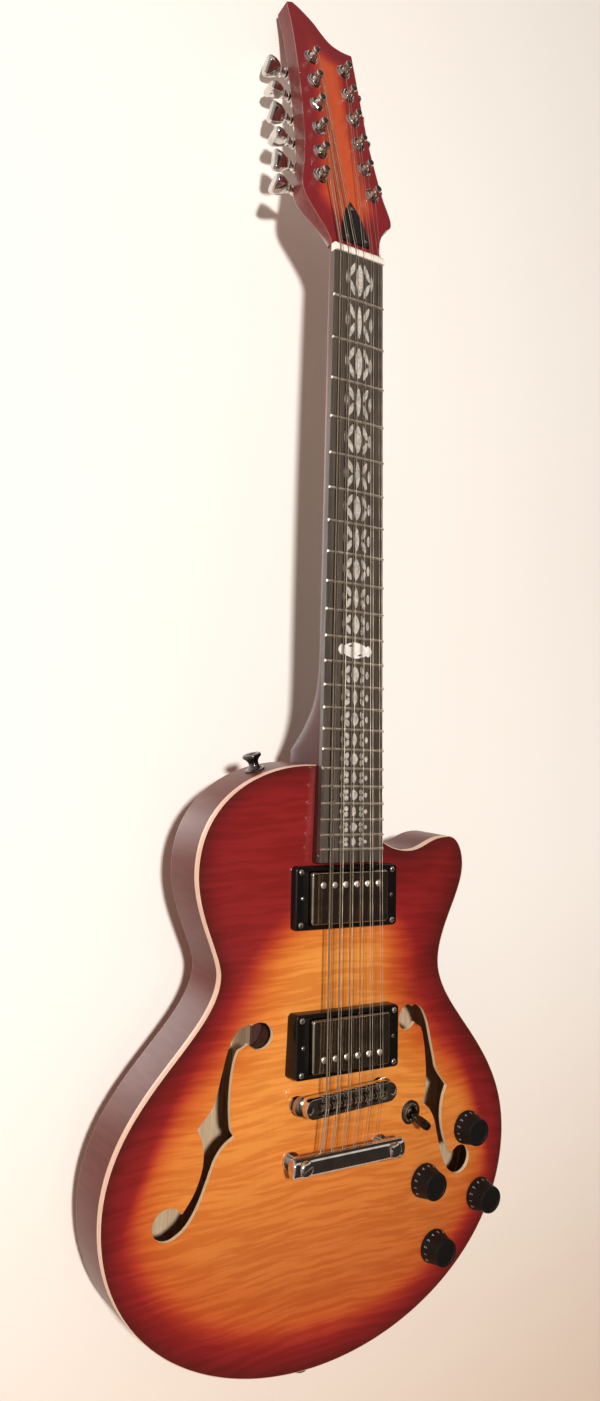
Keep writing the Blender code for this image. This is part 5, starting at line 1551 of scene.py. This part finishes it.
def make_bridge():
    at = NECK @ shift(0, 0, -BRIDGE_AT) @ spin(-BRIDGE_SLANT, "Y")
    bottom = BRIDGE_FACE + BRIDGE_HEIGHT
    bar = Shell(at).plate(box_outline(*BRIDGE_BAR, 12), BRIDGE_FACE, bottom, 1.1 * MM)
    cuts = [Shell(at).plate(box_outline(*SADDLE_TRAY, 2), -0.1, BRIDGE_FACE + 5 * MM)]
    cuts += [Shell(at @ shift(sign * BRIDGE_POSTS, 0, 0)).turn(
        [(3.1 * MM, -0.1), (3.1 * MM, BRIDGE_FACE + 1.6 * MM)], 24) for sign in (-1, 1)]
    place("bridge_bar", carved(bar.mesh("bridge_bar"), cuts), ["chrome"], ["bridge"])

    section = [(z * MM, (y + 4.5) * MM + BRIDGE_FACE) for z, y in (
        (-3.9, 1.3), (-3.9, -3.4), (-0.5, -6.4), (0.5, -6.4), (2.9, -3.4), (2.9, 1.3))]
    saddle = Shell().loft([[(x, y + (drop if index in (2, 3) else 0.0), z)
                            for index, (z, y) in enumerate(section)] for x, drop in mm([
                                (-3.9, 0.4), (-3.5, 0), (-1.6, 0), (-1.15, 0.45), (-0.7, 0),
                                (0.7, 0), (1.15, 0.45), (1.6, 0), (3.5, 0), (3.9, 0.4)])])
    thread = [(1.03 if step % 2 else 0.85, -5.6 + step * 0.35) for step in range(34)]
    head = [(1.7, 6.3), (1.8, 6.9), (1.7, 7.9), (1.2, 8.1), (0, 8.1)]
    screw = Shell().turn(mm(thread + head), 14,
                         shift(0, BRIDGE_FACE + 2.9 * MM, 0) @ spin(math.pi / 2, "X"))
    spots = [at @ shift((index - 2.5) * BRIDGE_SPREAD / 5, 0, 0) for index in range(6)]
    set_out("saddles", saddle, spots, "nickel", ["bridge"], smooth=25)
    set_out("saddle_screws", screw, spots, "chrome", smooth=20)

    posts = Shell(at)
    wheel = bottom + 0.1 * MM
    for sign, word in SIDES:
        spot = shift(sign * BRIDGE_POSTS, 0, 0)
        floor = face_in_neck(sign * BRIDGE_POSTS, -BRIDGE_AT)
        posts.turn(measured([
            (0, BRIDGE_FACE, 1.2), (2.4, BRIDGE_FACE, 1.2), (2.5, BRIDGE_FACE, 1.7),
            (2.5, wheel, 0), (6.4, wheel, 0), (6.8, wheel, 0.4), (6.8, wheel, 2.8),
            (6.4, wheel, 3.2), (2.5, wheel, 3.2), (2.5, floor, -1.2), (5.2, floor, -1.2),
            (5.8, floor, -0.6), (5.8, floor, 2), (0, floor, 2)]), 36, spot)
        knurled_wheel(f"thumbwheel_knurl_{word}", at @ spot @ shift(0, wheel + 1.6 * MM, 0),
                      6.6 * MM, 2.7 * MM, 30, "nickel", ["bridge"])
    piece("bridge_posts", posts, ["nickel"], ["bridge"])


def make_tailpiece():
    at = NECK @ shift(0, 0, -TAIL_AT)
    half, deep, tall = TAIL_BAR
    middle = TAIL_FACE + deep
    ends = [(0.0, 0.3), (0.25, 0.62), (0.7, 0.84), (1.5, 0.97), (2.6, 1.0)]
    stations = [(-half + d * MM, swell) for d, swell in ends]
    stations += [(x * MM, 1.0) for x in range(-44, 45, 4)]
    stations += [(half - d * MM, swell) for d, swell in reversed(ends)]
    bar = Shell(at).loft([[(x, middle + b * deep * (0.62 + 0.38 * swell),
                            a * tall * (0.5 + 0.5 * swell))
                           for a, b in round_outline(1.0, 28)] for x, swell in stations])
    cuts = [Shell(at @ shift(string_offset(number, BRIDGE_SPREAD), STRING_HOLES, 0)
                  @ spin(math.pi / 2, "X")).turn([(0.95 * MM, -0.012), (0.95 * MM, -0.002)], 10)
            for number in range(12)]
    cuts += [Shell(at @ shift(sign * TAIL_STUDS, 0, 0)).turn(
        [(6.0 * MM, -0.05), (6.0 * MM, TAIL_FACE + 1.4 * MM)], 32) for sign in (-1, 1)]
    place("tail_bar", carved(bar.mesh("tail_bar"), cuts), ["chrome"], ["tailpiece"])

    floor = face_in_neck(TAIL_STUDS, -TAIL_AT)
    stud = Shell(at).turn(measured([
        (0, TAIL_FACE, -2.4), (2.6, TAIL_FACE, -2.3), (4.4, TAIL_FACE, -1.8),
        (5.4, TAIL_FACE, -0.9), (5.6, TAIL_FACE, 0), (5.6, TAIL_FACE, 1.2), (4.0, TAIL_FACE, 2),
        (4.0, 0, 6.4), (5.8, 0, 6.5), (6.1, 0, 6.9), (6.1, 0, 7.7), (5.8, 0, 8.1), (4.0, 0, 8.2),
        (4.0, floor, -2.0), (6.6, floor, -2.0), (6.9, floor, -1.3), (6.9, floor, 1),
        (0, floor, 1)]), 40)
    slot = Shell(at).plate(oblong(8 * MM, 0.8 * MM), TAIL_FACE - 6 * MM, TAIL_FACE - 1.0 * MM)
    stud = carved(stud.mesh("stud"), [slot])
    studs = []
    for sign in (-1, 1):
        copy = stud.copy()
        copy.transform(at @ shift(sign * TAIL_STUDS, 0, 0) @ spin(0.5 * sign, "Y")
                       @ at.inverted())
        studs.append(copy)
    place("tail_studs", tidy(joined("tail_studs", studs), 32), ["chrome"], ["tailpiece"])


# ---- controls and rim hardware

def numeral_mesh(text, size):
    """A generic dial numeral as a flat mesh, centred on the origin."""
    curve = bpy.data.curves.new("numeral", "FONT")
    curve.body = text
    curve.size = size
    curve.align_x = curve.align_y = "CENTER"
    curve.resolution_u = 2
    return baked(put("numeral", curve))


def make_knob(name, x, below):
    px, pz = body_place(x, below)
    highest = min(face_y(*point) for point in round_outline(KNOB_SKIRT, 16, (px, pz)))
    foot = min(highest - 0.35 * MM, face_y(px, pz) - 0.5 * MM)
    at = shift(px, foot, pz)
    profile = [(0, 10), (3.0, 10), (3.0, 1.2), (11.6, 1.2), (12.6, 0.0), (13.0, -0.1),
               (13.3, -0.5), (13.3, -1.3), (13.0, -1.9), (11.9, -6.6), (11.45, -7.8),
               (11.2, -9.0), (10.75, -14.0), (10.5, -14.7), (9.9, -15.0), (8.6, -15.0),
               (8.2, -14.75), (0, -14.7)]
    piece(f"{name}_dial", Shell(at).turn(mm(profile), 56), ["knob"],
          [f"{name}_knob"], f"{name}_knob", 28)

    marks = Shell(at)
    lean, lift = math.atan2(1.1, 4.7), 0.06 * MM
    for number in range(11):
        turn = math.radians(-125 + 25 * number)
        glyph = numeral_mesh(str(number), 3.4 * MM)
        corners = []
        for u, v, _ in (vertex.co for vertex in glyph.vertices):
            radius = 12.45 * MM - math.sin(lean) * (v + 0.1 * MM) + lift
            height = -4.25 * MM - math.cos(lean) * v - lift * 0.2
            angle = turn + u / radius
            corners.append(marks.add((radius * math.sin(angle), height,
                                      radius * math.cos(angle))))
        for face in glyph.polygons:
            marks.face([corners[index] for index in face.vertices])
    mesh = shaped(marks.mesh("marks"), [("SOLIDIFY", {"thickness": 0.08 * MM, "offset": 0.0})])
    place(f"{name}_numerals", tidy(mesh, 30), ["ink"], body=f"{name}_knob")


def make_switch():
    x, z = body_place(*SWITCH_PLACE)
    face = face_y(x, z)
    at = shift(x, face, z)
    collar = [(9.3, 0.6), (9.3, -0.5), (9.0, -0.9), (7.5, -1.2), (7.3, -1.25), (7.3, -1.1),
              (6.9, -1.1), (6.9, -3.0), (6.5, -3.4), (5.2, -3.4), (4.7, -2.9), (4.6, 0.0),
              (4.6, 6.4), (5.4, 6.4), (5.4, 0.6)]
    piece("switch_washer", Shell(at).turn(mm(collar), 44, caps=False), ["nickel"],
          ["toggle_switch"])
    knurled_wheel("switch_nut_knurl", at @ shift(0, -2.1 * MM, 0), 6.75 * MM, 1.9 * MM, 34,
                  "nickel", ["toggle_switch"])

    lever = Shell(shift(x, face + 3 * MM, z) @ spin(LEVER_REST_TILT, "X"))
    ball = [(0, 0.8), (4.1, 0.8), (4.25, 0.2), (4.15, -1.0), (3.7, -2.2), (2.8, -3.3),
            (1.7, -3.9), (0, -4.1)]
    rod = [(0, -3.6), (1.5, -3.6), (1.5, -11.2), (0, -11.2)]
    tip = [(1.4, -10.6), (2.5, -10.8), (2.9, -11.4), (3.1, -13.0), (3.4, -16.0), (3.5, -21.0),
           (3.4, -23.6), (2.9, -25.2), (1.8, -26.0), (0, -26.2)]
    for profile, sides, finish in ((ball, 32, 2), (rod, 24, 1), (tip, 28, 0)):
        lever.turn(mm(profile), sides, finish=finish)
    piece("switch_lever", lever, ["black", "dark_chrome", "nickel"],
          ["toggle_lever"], "toggle_lever", 35)


def make_strap_button(name, point, outward):
    at = (shift(point[0], RIM_Y + BODY_DEPTH / 2, point[1])
          @ spin(math.atan2(*outward), "Y") @ spin(math.pi / 2, "X"))
    profile = [(0, 0.0), (7.4, 0.0), (7.6, 0.5), (7.4, 1.0), (5.6, 1.3), (4.6, 2.2), (3.8, 3.8),
               (3.6, 5.2), (3.9, 6.6), (5.0, 8.4), (6.4, 9.5), (6.9, 10.0), (7.0, 10.7),
               (6.8, 11.6), (6.2, 12.1), (3.9, 12.2), (3.6, 11.7), (0, 11.6)]
    piece(f"{name}_turned", Shell(at).turn(mm(profile), 44), ["dark_chrome"], [name])
    return at


def make_rim_hardware():
    run = BODY_EDGE
    lengths = [(b - a).length for a, b in zip(run, run[1:])]
    count = next(i for i, p in enumerate(run) if p.y <= SHOULDER_Z - UPPER_AT)
    goal = 0.31 * sum(lengths[:count])
    index = 0
    while goal > lengths[index]:
        goal -= lengths[index]
        index += 1
    along = (run[index + 1] - run[index]).normalized()
    upper = make_strap_button("upper_strap_button", run[index], (along.y, -along.x))
    lower = make_strap_button("lower_strap_button", (0.0, SHOULDER_Z - BODY_LENGTH), (0, -1))
    flip = shift(0, 11.6 * MM, 0) @ spin(math.pi, "X")
    set_out("strap_button_screws", screw_pattern(3.2 * MM, 1.2 * MM, 2, 0.7, 0.7),
            [upper @ flip, lower @ flip], "dark_chrome")

    barrel = [(5.0, -24), (5.0, 0.0), (10.2, 0.0), (10.2, 0.5), (9.8, 0.8), (5.2, 0.8),
              (5.2, 3.6), (4.8, 4.0), (3.7, 4.0), (3.35, 3.6), (3.35, -24)]
    jack = Shell(JACK @ spin(-math.pi / 2, "Z")).turn(mm(barrel), 44, caps=False)
    jack.nut([(7.9, 0.8), (7.9, 2.6), (7.2, 3.1)], 5.3)
    piece("jack_nut_and_washer", jack, ["nickel"], ["output_jack"], smooth=25)


# ---- studio

def make_wall():
    """A pale wall that leans in below the head, and a floor that it runs down to in a cove; their
    paint darkens towards the bottom as painted shade.
    """
    wall_y, bend_z, bend, lean = 0.097, -0.14, 0.05, 0.09
    floor_z, radius, edge_y, half = -1.36, 0.25, -0.75, 2.6
    wall = [(wall_y - lean * bend * math.log1p(math.exp((bend_z - z) / bend)), z)
            for z in [1.9] + [0.2 - 0.05 * step for step in range(17)]]
    foot = wall_y - lean * (bend_z - floor_z - radius)
    wall += [(foot - radius * (1 - math.cos(angle)), floor_z + radius * (1 - math.sin(angle)))
             for angle in quarter(12)]

    finish = Finish("pale_paint", roughness=0.85)
    cloud = finish.noise(finish.place, 3.0, 3.0)
    fine = finish.noise(finish.place, 240.0)
    x, _, z = finish.axes()
    # Painted shade: the paint darkens towards the bottom, and a little towards the right, in place
    # of the light falling off; the floor is darkened too.
    painted_falloff = finish.between(x * 0.15 - z, 0.5, 1.15)
    pale = finish.mix(cloud, paint(255, 252, 247), paint(252, 246, 238))
    finish.colour(finish.mix(painted_falloff, pale, paint(226, 206, 188)))
    finish.relief(fine, 0.05, 0.0008)
    # The wall hides nothing from behind and keeps no light off the guitar's back.
    unseen = finish.node("ShaderNodeNewGeometry", output="Backfacing").math(
        "MAXIMUM", finish.node("ShaderNodeLightPath", output="Is Shadow Ray"))
    shown = finish.node("ShaderNodeMixShader", {}, {
        0: unseen, 1: Value(finish, finish.shader.outputs[0]),
        2: finish.node("ShaderNodeBsdfTransparent")})
    finish.tree.links.new(shown.socket, finish.tree.nodes["Material Output"].inputs[0])

    for name, profile in (("pale_wall", wall), ("pale_floor", [wall[-1], (edge_y, floor_z)])):
        sheet = Shell()
        left, right = (sheet.ring([(x, y, z) for y, z in profile]) for x in (-half, half))
        for index in range(len(profile) - 1):
            sheet.face([left[index], left[index + 1], right[index + 1], right[index]])
        mesh = sheet.mesh(name)
        mesh.shade_smooth()
        mesh.materials.append(finish.material)
        stage = put(name, mesh)
        stage.visible_glossy = name == "pale_wall"


def make_light():
    """A room that reflections see, a soft fill, a small bright key and a broad lamp behind."""
    world = bpy.data.worlds.new("studio")
    bpy.context.scene.world = world
    world.use_nodes = True
    room = Sheet(world.node_tree)
    x, _, z = room.axes(room.node("ShaderNodeTexCoord", output="Generated"))
    leftness = room.between(x * -1 + z * 0.35, -0.35, 0.9)
    strip = room.between(z, 0.34, 0.42) - room.between(z, 0.54, 0.64)
    seen = room.mix(strip, (0.045, 0.034, 0.028), (0.8, 0.74, 0.66))
    seen = room.mix(leftness, seen, (0.52, 0.48, 0.44))
    glossy, camera = (room.node("ShaderNodeLightPath", output=f"Is {kind} Ray")
                      for kind in ("Glossy", "Camera"))
    tone = room.mix(glossy, (0.2, 0.167, 0.142), seen)
    tone = room.mix(camera, tone, (0.95, 0.9, 0.86))
    backdrop = world.node_tree.nodes["Background"]
    world.node_tree.links.new(tone.socket, backdrop.inputs["Color"])
    backdrop.inputs["Strength"].default_value = 1.0

    target = Vector((0.02, -0.02, -0.36))
    for name, way, distance, size, watts in (("key", (0.38, 0.92, -0.16), 1.9, 0.16, 37.0),
                                             ("back", (0.3, -0.93, -0.2), 2.2, 0.9, 30.0)):
        lamp = bpy.data.lights.new(name, "AREA")
        lamp.shape = "DISK"
        lamp.size = size
        lamp.energy = watts
        lamp.color = (1.0, 0.97, 0.94)
        way = Vector(way).normalized()
        aim(put(name, lamp), target - way * distance, way.to_track_quat("-Z", "Y"))


def aim(thing, location, turn):
    thing.rotation_mode = "QUATERNION"
    thing.rotation_quaternion = turn
    thing.location = location


def make_camera():
    """The camera fitted to the photograph's frets and hardware, for the assumed scale length."""
    data = bpy.data.cameras.new("camera")
    data.sensor_width = 36.0
    data.lens = 28.11
    data.clip_start = 0.01
    right = Vector((0.8321691, -0.5518319, 0.0545541))
    up = Vector((-0.0578660, 0.0114253, 0.9982590))
    ahead = Vector((0.5514944, 0.8338771, 0.0224245))
    camera = put("camera", data)
    aim(camera, (-0.4833228, -0.6808255, -0.3621234),
        Matrix((right, up, -ahead)).transposed().to_quaternion())
    bpy.context.scene.camera = camera
    bpy.context.scene.view_settings.view_transform = "Standard"


make_camera()
make_wall()
make_light()
make_top()
make_back()
make_neck()
make_board()
make_tuners()
make_strings()
make_pickups()
make_bridge()
make_tailpiece()
for knob, spot in KNOB_PLACES.items():
    make_knob(knob, *spot)
make_switch()
make_rim_hardware()
